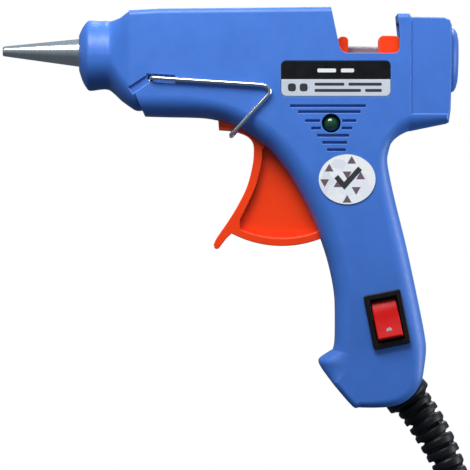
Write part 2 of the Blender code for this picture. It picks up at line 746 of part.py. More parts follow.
def spring_coil(turns, per_turn, low, high):
    count = turns * per_turn
    coil = []
    for step in range(count + 1):
        angle = 2 * pi * step / per_turn
        x = SPRING_HOLD[0] + SPRING_RADIUS * cos(angle)
        y = SPRING_HOLD[1] + SPRING_RADIUS * sin(angle)
        coil.append((x, y, low + (high - low) * step / count))
    return coil


# ---------------------------------------------------------------- stand, switch, fittings

STAND_KNEE = ((-30.6, 51.6), (-29.0, 51.2), (-28.1, 50.3), (-28.1, 49.2), (-28.8, 48.3))
STAND_FOOT = (-39.1, 37.2)


def build_stand(materials):
    """From its hook in one hole, back along the side, down, across and the same again."""
    half = STAND_HALF_WIDTH
    x, z = STAND_PIVOT
    route = [(x, -10.6, z), (x, -13.0, z), (x + 0.3, -half + 0.2, z), (x + 1.2, -half, z - 0.05)]
    route += [(x, -half, z) for x, z in STAND_KNEE]
    x, z = STAND_FOOT
    route += [(x + 0.8, -half, z + 0.8), (x, -half + 1.0, z)]
    route += [(x, -y, z) for x, y, z in reversed(route)]
    tube("stand_wire", route, STAND_WIRE_RADIUS, materials["wire"], 2)


def build_switch(materials):
    seat = switch_matrix(-HALF_WIDTH - CLEAR)
    rim = placed(rounded_box((-5.5, -1.2, -8.0), (5.5, 0.0, 8.0), 0.9), seat)
    bezel = add_object("switch_body", rim, materials["black_part"])
    barrel = placed(block((-4.6, -0.5, -6.8), (4.6, 9.0, 6.8)), seat)
    cut(bezel, as_cutter(add_object("tool_switch_barrel", barrel)), "UNION")
    well = placed(block((-4.0, -3.0, -6.4), (4.0, 4.6, 6.4)), seat)
    cut(bezel, as_cutter(add_object("tool_switch_well", well)))
    rocker = placed(skin_loops([rocker_outline(x) for x in (-3.65, 3.65)]), seat)
    origin = (SWITCH_CENTRE[0], -HALF_WIDTH + 0.5, SWITCH_CENTRE[1])
    add_object("switch_rocker", rocker, materials["red"], None, origin)
    for name, height in (("terminal_in", -3.6), ("terminal_out", 3.6)):
        tab = placed(block((-2.2, 9.3, height - 0.4), (2.2, 14.0, height + 0.4)), seat)
        add_object("switch_" + name, tab, materials["brass"])


def rocker_outline(x):
    """Side view of the rocker (y, z), its lower end pressed out and its upper end in."""
    face = [(0.5, 5.7), (-0.7, 3.0), (-1.4, 0.0), (-2.2, -2.6), (-3.1, -5.1), (-2.4, -5.5)]
    back = [(0.2, -5.4), (2.2, -1.2), (1.8, 4.6)]
    return [(x, y, z) for y, z in face + back]


def build_marks(materials):
    label = rounded_box((-24.6, -13.0, 48.4), (6.9, -12.7, 58.4), 1.45)
    add_object("rating_label", label, materials["label"])
    round_edge = []
    for step in range(32):
        angle = 2 * pi * step / 32
        round_edge.append((-5.6 + 8.2 * cos(angle), 24.3 + 7.2 * sin(angle)))
    add_object("check_sticker", prism(round_edge, -13.35, -13.2), materials["foil"])
    lens = [(-12.9, 0), (-12.6, 1.3), (-11.9, 2.1), (-10.9, 2.45), (-6.6, 2.45), (-6.6, 0)]
    bm = turned(lens, 18)
    bmesh.ops.rotate(bm, cent=(0, 0, 0), matrix=Matrix.Rotation(radians(90), 3, "Z"), verts=bm.verts)
    bmesh.ops.translate(bm, vec=(-10.2, 0, 40.5), verts=bm.verts)
    add_object("led", bm, materials["green"])
    add_object("led_resistor", rod((-10.2, 40.5), 1.2, -6.2, -0.8, 10), materials["black_part"])


def build_screws(materials):
    for number, place in enumerate(HOUSING_SCREWS, 1):
        head = rod(place, SCREW_HEAD_RADIUS, 10.6, SCREW_HEAD_Y, 18)
        screw = add_object("housing_screw_%d" % number, head, materials["screw"])
        shank = rod(place, SCREW_SHANK_RADIUS, -9.0, 11.0, 12)
        cut(screw, as_cutter(add_object("tool_shank_%d" % number, shank)), "UNION")
        for bar_name, width, height in (("up", 0.35, 1.4), ("across", 1.4, 0.35)):
            low = (place[0] - width, SCREW_HEAD_Y - 0.9, place[1] - height)
            high = (place[0] + width, SCREW_HEAD_Y + 1.0, place[1] + height)
            cut(screw, as_cutter(add_object("tool_%s_%d" % (bar_name, number), block(low, high))))


CLAMP_CENTRE = (5.4, -29.5)
CLAMP_SPAN = 5.2
CLAMP_SCREWS = (
    (CLAMP_CENTRE[0] + 0.8 * CLAMP_SPAN, CLAMP_CENTRE[1] + 0.6 * CLAMP_SPAN),
    (CLAMP_CENTRE[0] - 0.8 * CLAMP_SPAN, CLAMP_CENTRE[1] - 0.6 * CLAMP_SPAN),
)


def build_cord_clamp(materials):
    bar = block((-CLAMP_SPAN - 2.0, -4.5, -1.9), (CLAMP_SPAN + 2.0, -2.9, 1.9))
    turn = Matrix.Rotation(radians(-36.87), 4, "Y")
    bar = placed(bar, Matrix.Translation((CLAMP_CENTRE[0], 0, CLAMP_CENTRE[1])) @ turn)
    clamp = add_object("cord_clamp", bar, materials["black_part"])
    for number, place in enumerate(CLAMP_SCREWS, 1):
        cut(clamp, as_cutter(add_object("tool_clamp_hole_%d" % number, rod(place, 1.1, -8, 8, 10))))
        head = rod(place, 1.7, -6.0, -4.8, 14)
        screw = add_object("clamp_screw_%d" % number, head, materials["screw"])
        shank = rod(place, 0.8, -5.4, 7.2, 10)
        cut(screw, as_cutter(add_object("tool_clamp_shank_%d" % number, shank)), "UNION")


# ---------------------------------------------------------------- lead

LEAD_NEUTRAL = (
    (2.4, 1.2, -26.0), (1.5, 4.0, -22.0), (3.2, 8.0, -10.0), (4.2, 9.2, 0.0), (2.2, 9.3, 12.0),
    (-3.0, 9.3, 26.0), (-13.0, 9.4, 42.0), (-18.8, 9.5, 53.6), (-24.0, 9.5, 59.2),
    (-33.0, 9.3, 62.6), (-43.0, 7.0, 64.9), (-47.0, 3.6, 66.2), (-50.2, -0.8, 67.8),
    (-52.3, -2.4, 68.4),
)
LEAD_SWITCHED = (
    (5.4, 2.4, -12.6), (6.6, 6.4, -8.0), (7.6, 8.6, 0.0), (6.0, 9.0, 12.0), (1.6, 9.3, 26.5),
    (-8.6, 9.4, 43.0), (-15.0, 9.5, 55.0), (-20.2, 9.5, 61.6), (-26.0, 9.5, 64.0),
    (-31.5, 9.0, 65.8), (-42.0, 7.6, 68.2), (-48.5, 4.6, 69.3), (-52.3, 2.6, 69.3),
)
LEAD_LIVE = ((2.4, -1.2, -26.0), (3.2, -0.6, -24.0), (5.2, 1.2, -22.3), (6.4, 2.2, -20.6))


def build_cord(materials):
    outside = [(-3.2, 6.7), (0.4, 6.9), (1.0, 6.5), (1.5, 5.2)]
    for rib in range(RELIEF_RIBS):
        start = 2.2 + rib * RELIEF_PITCH
        radius = 5.45 - 0.02 * rib * rib
        valley = radius - 0.5
        outside += [(start, valley), (start + 0.7, radius), (start + 2.2, radius), (start + 2.9, valley)]
    outside += [(29.4, 4.1), (31.0, 3.9)]
    body = add_object("strain_relief", skin_loops(along_relief(outside)), materials["rubber"])
    heel = rod(HEEL_CENTRE, HEEL_RADIUS + CLEAR, -20, 20, 48)
    cut(body, as_cutter(add_object("tool_heel", heel)))
    inside = [(-6.6, 4.6), (-4.6, 4.6), (-4.6, 3.3), (1.0, 3.3)]
    cut(body, as_cutter(add_object("tool_relief_neck", skin_loops(along_relief(inside)))), "UNION")
    socket = skin_loops(along_relief([(27.4, CORD_RADIUS + 0.5), (36.0, CORD_RADIUS + 0.5)], 14))
    cut(body, as_cutter(add_object("tool_relief_socket", socket)))

    inner_end = relief_point(0) + RELIEF_ENTRY * -6.95
    tail = [inner_end, inner_end + RELIEF_ENTRY * -8.5]
    tube("cord_tail", [tuple(p) for p in tail], CORD_RADIUS, materials["rubber"], 3)
    tube("lead_neutral", evenly_spaced(LEAD_NEUTRAL, 4.5), 0.6, materials["lead_blue"], 1)
    tube("lead_switched", evenly_spaced(LEAD_SWITCHED, 4.5), 0.6, materials["lead_brown"], 1)
    tube("lead_live", evenly_spaced(LEAD_LIVE, 1.6), 0.6, materials["lead_brown"], 1)

    run_x = HANK_CENTRE_X + HANK_BEND - CORD_RADIUS
    tuck = HANK_BEND - (HANK_BEND ** 2 - (run_x - CORD_RADIUS - HANK_CENTRE_X) ** 2) ** 0.5
    start = relief_point(0.93)
    route = [
        tuple(start), CORD_EXIT, (28.8, -0.6, -72.5), (29.0, -2.4, -80.5),
        (run_x + 0.3, -4.8, -90.0), (run_x, -6.7, -99.0), (run_x, -7.5, HANK_TOP - tuck + CLEAR),
    ]
    tube("power_cord", evenly_spaced(route, 6.0), CORD_RADIUS, materials["rubber"], 3)
    build_hank(materials, run_x, tuck)


def stadium(half_width, top, bottom, steps=10):
    centre_top = (HANK_CENTRE_X, top - HANK_BEND)
    centre_bottom = (HANK_CENTRE_X, bottom + HANK_BEND)
    outline = circle_points(centre_top, half_width, 0, 180, steps)
    return outline + circle_points(centre_bottom, half_width, 180, 360, steps)


def build_hank(materials, run_x, tuck):
    bottom = HANK_TOP - HANK_RUN - 2 * HANK_BEND
    solid = prism(stadium(HANK_BEND, HANK_TOP, bottom), -HANK_HALF_THICKNESS, HANK_HALF_THICKNESS)
    add_object("cord_hank", solid, materials["rubber"])
    build_tie(materials, (HANK_TOP + bottom) / 2)
    end = [(run_x, 7.5, bottom + tuck - CLEAR), (run_x, 7.5, CORD_END_Z)]
    tube("cord_end", end, CORD_RADIUS, materials["rubber"], 3)
    build_plug(materials, run_x, 7.5)


def build_tie(materials, middle):
    """A band round the hank, made lying down and turned upright."""
    height = 8.0
    wide, deep = HANK_BEND + CLEAR, HANK_HALF_THICKNESS + CLEAR
    thick = 1.2
    outer = rounded_box((-wide - thick, 0, -deep - thick), (wide + thick, height, deep + thick), 3.0)
    inner = block((-wide, -1, -deep), (wide, height + 1, deep))
    upright = Matrix.Rotation(radians(90), 4, "X")
    seat = Matrix.Translation((HANK_CENTRE_X, 0, middle - height / 2)) @ upright
    tie = add_object("cord_tie", placed(outer, seat), materials["tie"])
    cut(tie, as_cutter(add_object("tool_tie_hole", placed(inner, seat))))


def build_plug(materials, x, y):
    sections = (
        (CORD_END_Z - CLEAR, 3.6, 3.6), (CORD_END_Z - 9.0, 4.4, 4.4),
        (CORD_END_Z - 12.0, 8.5, 5.2), (CORD_END_Z - 17.0, 11.5, 6.6),
        (CORD_END_Z - 33.0, 13.0, 7.0), (CORD_END_Z - PLUG_LENGTH, 12.2, 6.4),
    )
    loops = []
    for z, half_x, half_y in sections:
        loop = []
        for step in range(24):
            angle = 2 * pi * step / 24
            squash = (abs(cos(angle)) ** 4 + abs(sin(angle)) ** 4) ** -0.25
            loop.append((x + half_x * squash * cos(angle), y + half_y * squash * sin(angle), z))
        loops.append(loop)
    add_object("plug_body", skin_loops(loops), materials["rubber"])
    top = CORD_END_Z - PLUG_LENGTH - CLEAR
    profile = [(0, 0), (0, 2.0), (17.4, 2.0), (18.6, 1.2), (18.6, 0)]
    for name, shift in (("plug_pin_a", -PIN_SPREAD), ("plug_pin_b", PIN_SPREAD)):
        pin = turned(profile, 14)
        turn = Matrix.Translation((x + shift, y, top)) @ Matrix.Rotation(radians(90), 4, "Y")
        add_object(name, placed(pin, turn), materials["brass"])


# ---------------------------------------------------------------- assembly

def build_materials():
    return {
        "blue": make_material("blue_housing", BLUE, 0.42),
        "orange": make_material("orange_plastic", ORANGE, 0.35),
        "red": make_material("red_rocker", RED, 0.25),
        "black_part": make_material("black_plastic", BLACK, 0.35),
        "rubber": make_material("black_rubber", BLACK, 0.6),
        "tie": make_material("cord_tie", (0.02, 0.02, 0.02), 0.5),
        "aluminium": make_material("nozzle_metal", (0.80, 0.80, 0.80), 0.18, 1.0),
        "cast": make_material("cast_chamber", (0.55, 0.55, 0.56), 0.45, 1.0),
        "steel": make_material("spring_steel", (0.55, 0.55, 0.56), 0.3, 1.0),
        "wire": make_material("stand_wire", (0.75, 0.75, 0.76), 0.2, 1.0),
        "screw": make_material("screw_steel", (0.25, 0.25, 0.26), 0.35, 1.0),
        "brass": make_material("brass", (0.75, 0.58, 0.28), 0.3, 1.0),
        "silicone": make_material("silicone", (0.55, 0.10, 0.05), 0.6),
        "glue": make_material("glue_stick", (0.75, 0.72, 0.66), 0.3),
        "green": make_material("green_lens", (0.02, 0.16, 0.05), 0.15),
        "label": make_material("rating_label", (0.02, 0.02, 0.02), 0.3),
        "foil": make_material("foil_sticker", (0.75, 0.78, 0.80), 0.25, 0.8),
        "lead_blue": make_material("blue_lead", (0.02, 0.08, 0.45), 0.5),
        "lead_brown": make_material("brown_lead", (0.16, 0.05, 0.02), 0.5),
    }


def build():
    clear_scene()
    materials = build_materials()
    feed = bpy.data.objects.new("feed_axis", None)
    bpy.context.scene.collection.objects.link(feed)
    feed.location = (0, 0, FEED_HEIGHT * MM)
    feed.rotation_euler = (0, radians(FEED_TILT), 0)
    build_housing(materials)
    build_feed(materials, feed)
    build_trigger(materials)
    build_stand(materials)
    build_switch(materials)
    build_marks(materials)
    build_screws(materials)
    build_cord_clamp(materials)
    build_cord(materials)


build()
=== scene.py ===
from math import atan2, cos, hypot, pi, radians, sin

import bmesh
import bpy
from mathutils import Matrix, Vector


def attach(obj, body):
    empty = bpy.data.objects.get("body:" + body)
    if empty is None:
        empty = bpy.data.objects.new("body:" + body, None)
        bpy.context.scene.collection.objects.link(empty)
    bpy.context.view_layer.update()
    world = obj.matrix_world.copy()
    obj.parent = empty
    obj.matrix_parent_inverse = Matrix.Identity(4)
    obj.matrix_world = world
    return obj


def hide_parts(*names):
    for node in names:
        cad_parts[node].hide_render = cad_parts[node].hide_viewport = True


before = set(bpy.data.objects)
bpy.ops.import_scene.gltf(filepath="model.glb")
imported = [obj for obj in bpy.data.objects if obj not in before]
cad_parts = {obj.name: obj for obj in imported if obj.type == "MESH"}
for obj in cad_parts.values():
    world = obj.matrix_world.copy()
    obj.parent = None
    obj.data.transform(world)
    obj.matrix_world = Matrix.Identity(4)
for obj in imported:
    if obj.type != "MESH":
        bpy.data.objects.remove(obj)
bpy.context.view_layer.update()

MM = 0.001
GRAIN_DEPTH = 0.1 * MM

# Housing
HALF_WIDTH = 13.0
WALL = 2.2
SEAM_HALF_GAP = 0.15
CLEAR = 0.3
OUTER_STEPS = 9
CAVITY_STEPS = 3
NOSE_START = -64.0
NOSE_WALL = 2.6
INNER_FACE = 11.6
PILLAR_RADIUS = 2.6
SEAT_RADIUS = 3.9

# Feed axis
FEED_HEIGHT = 59.6
FEED_TILT = 1.15
STICK_RADIUS = 3.5

# Trigger
TRIGGER_PIVOT = (-40.6, 44.7)
TRIGGER_HALF_WIDTH = 6.8
TRIGGER_SWEEP = (-24.4, 36.2, 31.2)
DRIVE_PIN = (-36.0, 59.0)
FORK_INNER = 8.1
FORK_OUTER = 9.8

# Wire stand
STAND_PIVOT = (-62.4, 53.6)
STAND_WIRE_RADIUS = 0.6
STAND_HALF_WIDTH = 14.0
STAND_KNEE = ((-30.6, 51.6), (-29.0, 51.2), (-28.1, 50.3), (-28.1, 49.2), (-28.8, 48.3))
STAND_FOOT = (-39.1, 37.2)

# Switch
SWITCH_CENTRE = (5.9, -16.2)
SWITCH_TILT = 11.2

LED_PLACE = (-10.2, 40.5)
STICKER_CENTRE = (-5.6, 24.3)
STICKER_RADII = (8.2, 7.2)
HOUSING_SCREWS = ((-57.0, 50.3), (-24.0, 69.3), (18.6, 47.6), (-1.5, 0.8), (-2.2, -36.8))
SCREW_HEAD_Y = 12.1
SCREW_HEAD_RADIUS = 2.5
SCREW_SHANK_RADIUS = 1.2

# Lead
CORD_RADIUS = 2.5
CORD_EXIT = (27.4, 0.0, -66.5)
RELIEF_ENTRY = Vector((0.63, 0.0, -0.777))
HEEL_CENTRE = (5.3, -30.2)
HEEL_RADIUS = 11.5
RELIEF_RIBS = 8
RELIEF_PITCH = 3.3
HANK_CENTRE_X = 8.2
HANK_TOP = -98.6
HANK_RUN = 49.9
HANK_BEND = 22.5
HANK_HALF_THICKNESS = 10.0
CORD_END_Z = -199.7
PLUG_LENGTH = 34.0
PIN_SPREAD = 9.5

# Studio
FLOOR_Z = -300.0
CAMERA_AT = (-38.0, -1492.0, 8.2)
VIEW_WIDTH = 137.0


# ---------------------------------------------------------------- mesh helpers

def smooth_through(points, steps):
    """Points on a Catmull-Rom curve through the given points, ends included."""
    ends = [points[0]] + list(points) + [points[-1]]
    result = []
    for i in range(1, len(ends) - 2):
        before, start, end, after = ends[i - 1:i + 3]
        for step in range(steps):
            t = step / steps
            weights = (
                -t + 2 * t * t - t ** 3,
                2 - 5 * t * t + 3 * t ** 3,
                t + 4 * t * t - 3 * t ** 3,
                -t * t + t ** 3,
            )
            stack = zip(before, start, end, after)
            result.append(tuple(0.5 * sum(w * v for w, v in zip(weights, row)) for row in stack))
    result.append(tuple(points[-1]))
    return result


def circle_points(centre, radius, start, end, steps):
    """Points on an arc in the XZ plane, angles in degrees from +X towards +Z."""
    result = []
    for step in range(steps + 1):
        angle = radians(start + (end - start) * step / steps)
        result.append((centre[0] + radius * cos(angle), centre[1] + radius * sin(angle)))
    return result


def skin_loops(loops):
    """Closed solid through loops of equal length, with both ends capped."""
    bm = bmesh.new()
    rings = [[bm.verts.new(point) for point in loop] for loop in loops]
    count = len(rings[0])
    for first, second in zip(rings, rings[1:]):
        for i in range(count):
            j = (i + 1) % count
            bm.faces.new((first[i], first[j], second[j], second[i]))
    bm.faces.new(rings[0])
    bm.faces.new(list(reversed(rings[-1])))
    return bm


def prism(outline, y_low, y_high):
    """An outline in the XZ plane, extruded along Y."""
    return skin_loops([[(x, y, z) for x, z in outline] for y in (y_low, y_high)])


def angles(steps):
    """Angles of a full turn, in equal steps."""
    return [2 * pi * step / steps for step in range(steps)]


def turned(profile, steps):
    """A closed profile of (x, radius) turned about the X axis."""
    bm = bmesh.new()
    rings = []
    for x, radius in profile:
        if radius <= 0.0:
            rings.append([bm.verts.new((x, 0.0, 0.0))])
            continue
        ring = [(x, radius * cos(angle), radius * sin(angle)) for angle in angles(steps)]
        rings.append([bm.verts.new(point) for point in ring])
    pairs = list(zip(rings, rings[1:]))
    if profile[0][1] > 0.0:
        pairs.append((rings[-1], rings[0]))
    for first, second in pairs:
        for i in range(steps):
            j = (i + 1) % steps
            corners = [first[i % len(first)], first[j % len(first)]]
            corners += [second[j % len(second)], second[i % len(second)]]
            unique = []
            for corner in corners:
                if corner not in unique:
                    unique.append(corner)
            bm.faces.new(unique)
    return bm


def rod(centre, radius, y_low, y_high, steps=16):
    """A cylinder along Y at (x, z)."""
    return prism(circle_points(centre, radius, 0, 360 - 360 / steps, steps - 1), y_low, y_high)


def block(low, high):
    bm = bmesh.new()
    bmesh.ops.create_cube(bm, size=1.0)
    low, high = Vector(low), Vector(high)
    bmesh.ops.scale(bm, vec=high - low, verts=bm.verts)
    bmesh.ops.translate(bm, vec=(high + low) / 2, verts=bm.verts)
    return bm


def join(*parts):
    """Copy several bmeshes into one; the pieces must not touch each other."""
    result = bmesh.new()
    for part in parts:
        mesh = bpy.data.meshes.new("joined")
        part.to_mesh(mesh)
        part.free()
        result.from_mesh(mesh)
        bpy.data.meshes.remove(mesh)
    return result


def rounded_box(low, high, radius, steps=3):
    """A box with its four edges along Y rounded."""
    outline = []
    corners = (
        (high[0] - radius, high[2] - radius, 0),
        (low[0] + radius, high[2] - radius, 90),
        (low[0] + radius, low[2] + radius, 180),
        (high[0] - radius, low[2] + radius, 270),
    )
    for x, z, angle in corners:
        outline += circle_points((x, z), radius, angle, angle + 90, steps)
    return prism(outline, low[1], high[1])


def evenly_spaced(points, spacing):
    """Points a fixed distance apart along a smooth curve through the given points."""
    fine = [Vector(point) for point in smooth_through(points, 24)]
    lengths = [0.0]
    for first, second in zip(fine, fine[1:]):
        lengths.append(lengths[-1] + (second - first).length)
    count = max(2, round(lengths[-1] / spacing))
    result = []
    index = 0
    for step in range(count + 1):
        target = lengths[-1] * step / count
        while index < len(lengths) - 2 and lengths[index + 1] < target:
            index += 1
        share = (target - lengths[index]) / max(lengths[index + 1] - lengths[index], 1e-9)
        result.append(fine[index].lerp(fine[index + 1], min(share, 1.0)))
    return result


def smooth_faces(item, sharp=32.0):
    item.data.shade_smooth()
    item.data.set_sharp_from_angle(angle=radians(sharp))


def add_object(name, bm, material=None, sharp=32.0):
    """Turn a bmesh in mm into an object in metres."""
    bmesh.ops.recalc_face_normals(bm, faces=bm.faces)
    bmesh.ops.scale(bm, vec=(MM, MM, MM), verts=bm.verts)
    mesh = bpy.data.meshes.new(name)
    bm.to_mesh(mesh)
    bm.free()
    item = bpy.data.objects.new(name, mesh)
    bpy.context.scene.collection.objects.link(item)
    smooth_faces(item, sharp)
    if material is not None:
        mesh.materials.append(material)
    return item


def cut(item, bm, operation="DIFFERENCE"):
    """Apply one Boolean with a shape in mm."""
    tool = add_object("tool", bm)
    modifier = item.modifiers.new("cut", "BOOLEAN")
    modifier.object = tool
    modifier.operation = operation
    modifier.solver = "EXACT"
    modifier.use_hole_tolerant = operation == "INTERSECT"
    bake(item)
    bpy.data.objects.remove(tool, do_unlink=True)


def bake(item, sharp=32.0):
    """Replace an object's mesh with its evaluated one."""
    bpy.context.view_layer.update()
    depsgraph = bpy.context.evaluated_depsgraph_get()
    mesh = bpy.data.meshes.new_from_object(item.evaluated_get(depsgraph), depsgraph=depsgraph)
    old = item.data
    item.modifiers.clear()
    item.data = mesh
    bpy.data.meshes.remove(old)
    smooth_faces(item, sharp)


def even_normals(item):
    modifier = item.modifiers.new("even_normals", "WEIGHTED_NORMAL")
    modifier.keep_sharp = True
    modifier.weight = 90


def soften(item, width, segments=3, angle=40.0):
    modifier = item.modifiers.new("edge", "BEVEL")
    modifier.width = width * MM
    modifier.segments = segments
    modifier.limit_method = "ANGLE"
    modifier.angle_limit = radians(angle)
    modifier.harden_normals = False


def wire(name, points, radius, material, resolution=6):
    """A round wire or cord through points in mm."""
    curve = bpy.data.curves.new(name, "CURVE")
    curve.dimensions = "3D"
    curve.bevel_depth = radius * MM
    curve.bevel_resolution = resolution
    curve.use_fill_caps = True
    spline = curve.splines.new("POLY")
    spline.points.add(len(points) - 1)
    for target, point in zip(spline.points, points):
        target.co = (*(Vector(point) * MM), 1.0)
    spline.use_smooth = True
    curve.materials.append(material)
    item = bpy.data.objects.new(name, curve)
    bpy.context.scene.collection.objects.link(item)
    return item


def stands_for(item, body, slot, *nodes):
    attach(item, body)
    if nodes:
        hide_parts(*nodes)
    return item


# ---------------------------------------------------------------- materials

def add_node(tree, kind, **inputs):
    """A shader node with its inputs set to values or fed by other nodes' outputs."""
    node = tree.nodes.new("ShaderNode" + kind)
    for name, value in inputs.items():
        socket = node.inputs[name.replace("_", " ")]
        if isinstance(value, bpy.types.NodeSocket):
            tree.links.new(value, socket)
        else:
            socket.default_value = value
    return node


def noise_between(tree, coordinates, scale, low, high, detail=3.0, stretch=(1, 1, 1)):
    """A number that drifts between low and high over the surface."""
    place = add_node(tree, "Mapping", Scale=stretch, Vector=coordinates).outputs["Vector"]
    noise = add_node(tree, "TexNoise", Scale=scale, Detail=detail, Vector=place).outputs["Fac"]
    return add_node(tree, "MapRange", From_Min=0.3, From_Max=0.7, To_Min=low, To_Max=high,
                    Value=noise).outputs["Result"]


def mix_colours(tree, factor, first, second):
    node = tree.nodes.new("ShaderNodeMix")
    node.data_type = "RGBA"
    for socket, value in (("Factor", factor), ("A", first), ("B", second)):
        target = next(s for s in node.inputs if s.name == socket and s.enabled)
        if isinstance(value, tuple):
            target.default_value = (*value, 1.0)
        else:
            tree.links.new(value, target)
    return next(s for s in node.outputs if s.enabled)


def edge_highlight_mask(tree, rounded, width):
    """1 on edges and corners, 0 on open faces: where the lighter painted edge highlight goes."""
    facing = add_node(tree, "VectorMath")
    facing.operation = "DOT_PRODUCT"
    tree.links.new(rounded, facing.inputs[0])
    tree.links.new(add_node(tree, "NewGeometry").outputs["Normal"], facing.inputs[1])
    return add_node(tree, "MapRange", From_Min=1.0 - width, From_Max=1.0, To_Min=1.0, To_Max=0.0,
                    Value=facing.outputs["Value"]).outputs["Result"]


def new_material(name):
    """A material with its node tree, its shader and object coordinates."""
    material = bpy.data.materials.new(name)
    material.use_nodes = True
    tree = material.node_tree
    place = add_node(tree, "TexCoord").outputs["Object"]
    return material, tree, tree.nodes["Principled BSDF"], place


def surface(name, colour, roughness, metallic=0.0, grain=(2600.0, 0.12), drift=0.06, uneven=0.07,
            rounding=0.25, edge_highlight_colour=None, stretch=(1, 1, 1), settings=()):
    """Principled material with a drifting colour, uneven gloss, moulded grain, soft edges and, where an edge
    colour is given, a lighter painted highlight along the edges.
    """
    material, tree, shader, place = new_material(name)
    dark = tuple(max(c * (1 - drift), 0.0) for c in colour)
    light = tuple(min(c * (1 + drift), 1.0) for c in colour)
    paint = mix_colours(tree, noise_between(tree, place, 90.0, 0.0, 1.0, 4.0, stretch), dark, light)
    gloss = noise_between(tree, place, 420.0, roughness - uneven, roughness + uneven, 5.0, stretch)
    height = noise_between(tree, place, grain[0], 0.0, 1.0, 2.0, stretch)
    bump = add_node(tree, "Bump", Strength=grain[1], Distance=GRAIN_DEPTH, Height=height)
    if rounding:
        bevel = add_node(tree, "Bevel", Radius=rounding * MM)
        bevel.samples = 6
        tree.links.new(bevel.outputs["Normal"], bump.inputs["Normal"])
        if edge_highlight_colour is not None:
            # Edges and corners painted in the lighter edge colour: a painted highlight.
            edge = edge_highlight_mask(tree, bevel.outputs["Normal"], 0.35)
            paint = mix_colours(tree, edge, paint, edge_highlight_colour)
    feeds = (("Base Color", paint), ("Roughness", gloss), ("Normal", bump.outputs["Normal"]))
    for socket, source in feeds:
        tree.links.new(source, shader.inputs[socket])
    shader.inputs["Metallic"].default_value = metallic
    for socket, value in settings:
        shader.inputs[socket].default_value = value
    material.diffuse_color = (*colour, 1.0)
    return material


# Painted reflections: lighter and greyer tints for the foil's facets, as if each caught the light
# differently.
FACET_GLINT_TINTS = (
    (0.0, (0.90, 0.92, 0.96)), (0.30, (0.97, 0.97, 0.98)), (0.62, (0.93, 0.90, 0.96)),
    (0.78, (0.82, 0.84, 0.90)), (0.88, (0.96, 0.97, 0.95)),
)


def facet_foil(name):
    """Bright film with flat facets whose different tints are painted reflections, as if each caught the light
    from a different direction.
    """
    material, tree, shader, place = new_material(name)
    cells = add_node(tree, "TexVoronoi", Scale=300.0, Randomness=0.75, Vector=place)
    split = add_node(tree, "SeparateColor", Color=cells.outputs["Color"])
    ramp = add_node(tree, "ValToRGB", Fac=split.outputs["Red"])
    ramp.color_ramp.interpolation = "CONSTANT"
    while len(ramp.color_ramp.elements) < len(FACET_GLINT_TINTS):
        ramp.color_ramp.elements.new(0.5)
    for element, (position, colour) in zip(ramp.color_ramp.elements, FACET_GLINT_TINTS):
        element.position = position
        element.color = (*colour, 1.0)
    bump = add_node(tree, "Bump", Strength=0.3, Distance=GRAIN_DEPTH, Height=split.outputs["Green"])
    gloss = noise_between(tree, place, 700.0, 0.16, 0.34)
    feeds = (("Base Color", ramp.outputs["Color"]), ("Roughness", gloss), ("Normal", bump.outputs["Normal"]))
    for socket, source in feeds:
        tree.links.new(source, shader.inputs[socket])
    shader.inputs["Metallic"].default_value = 0.15
    return material


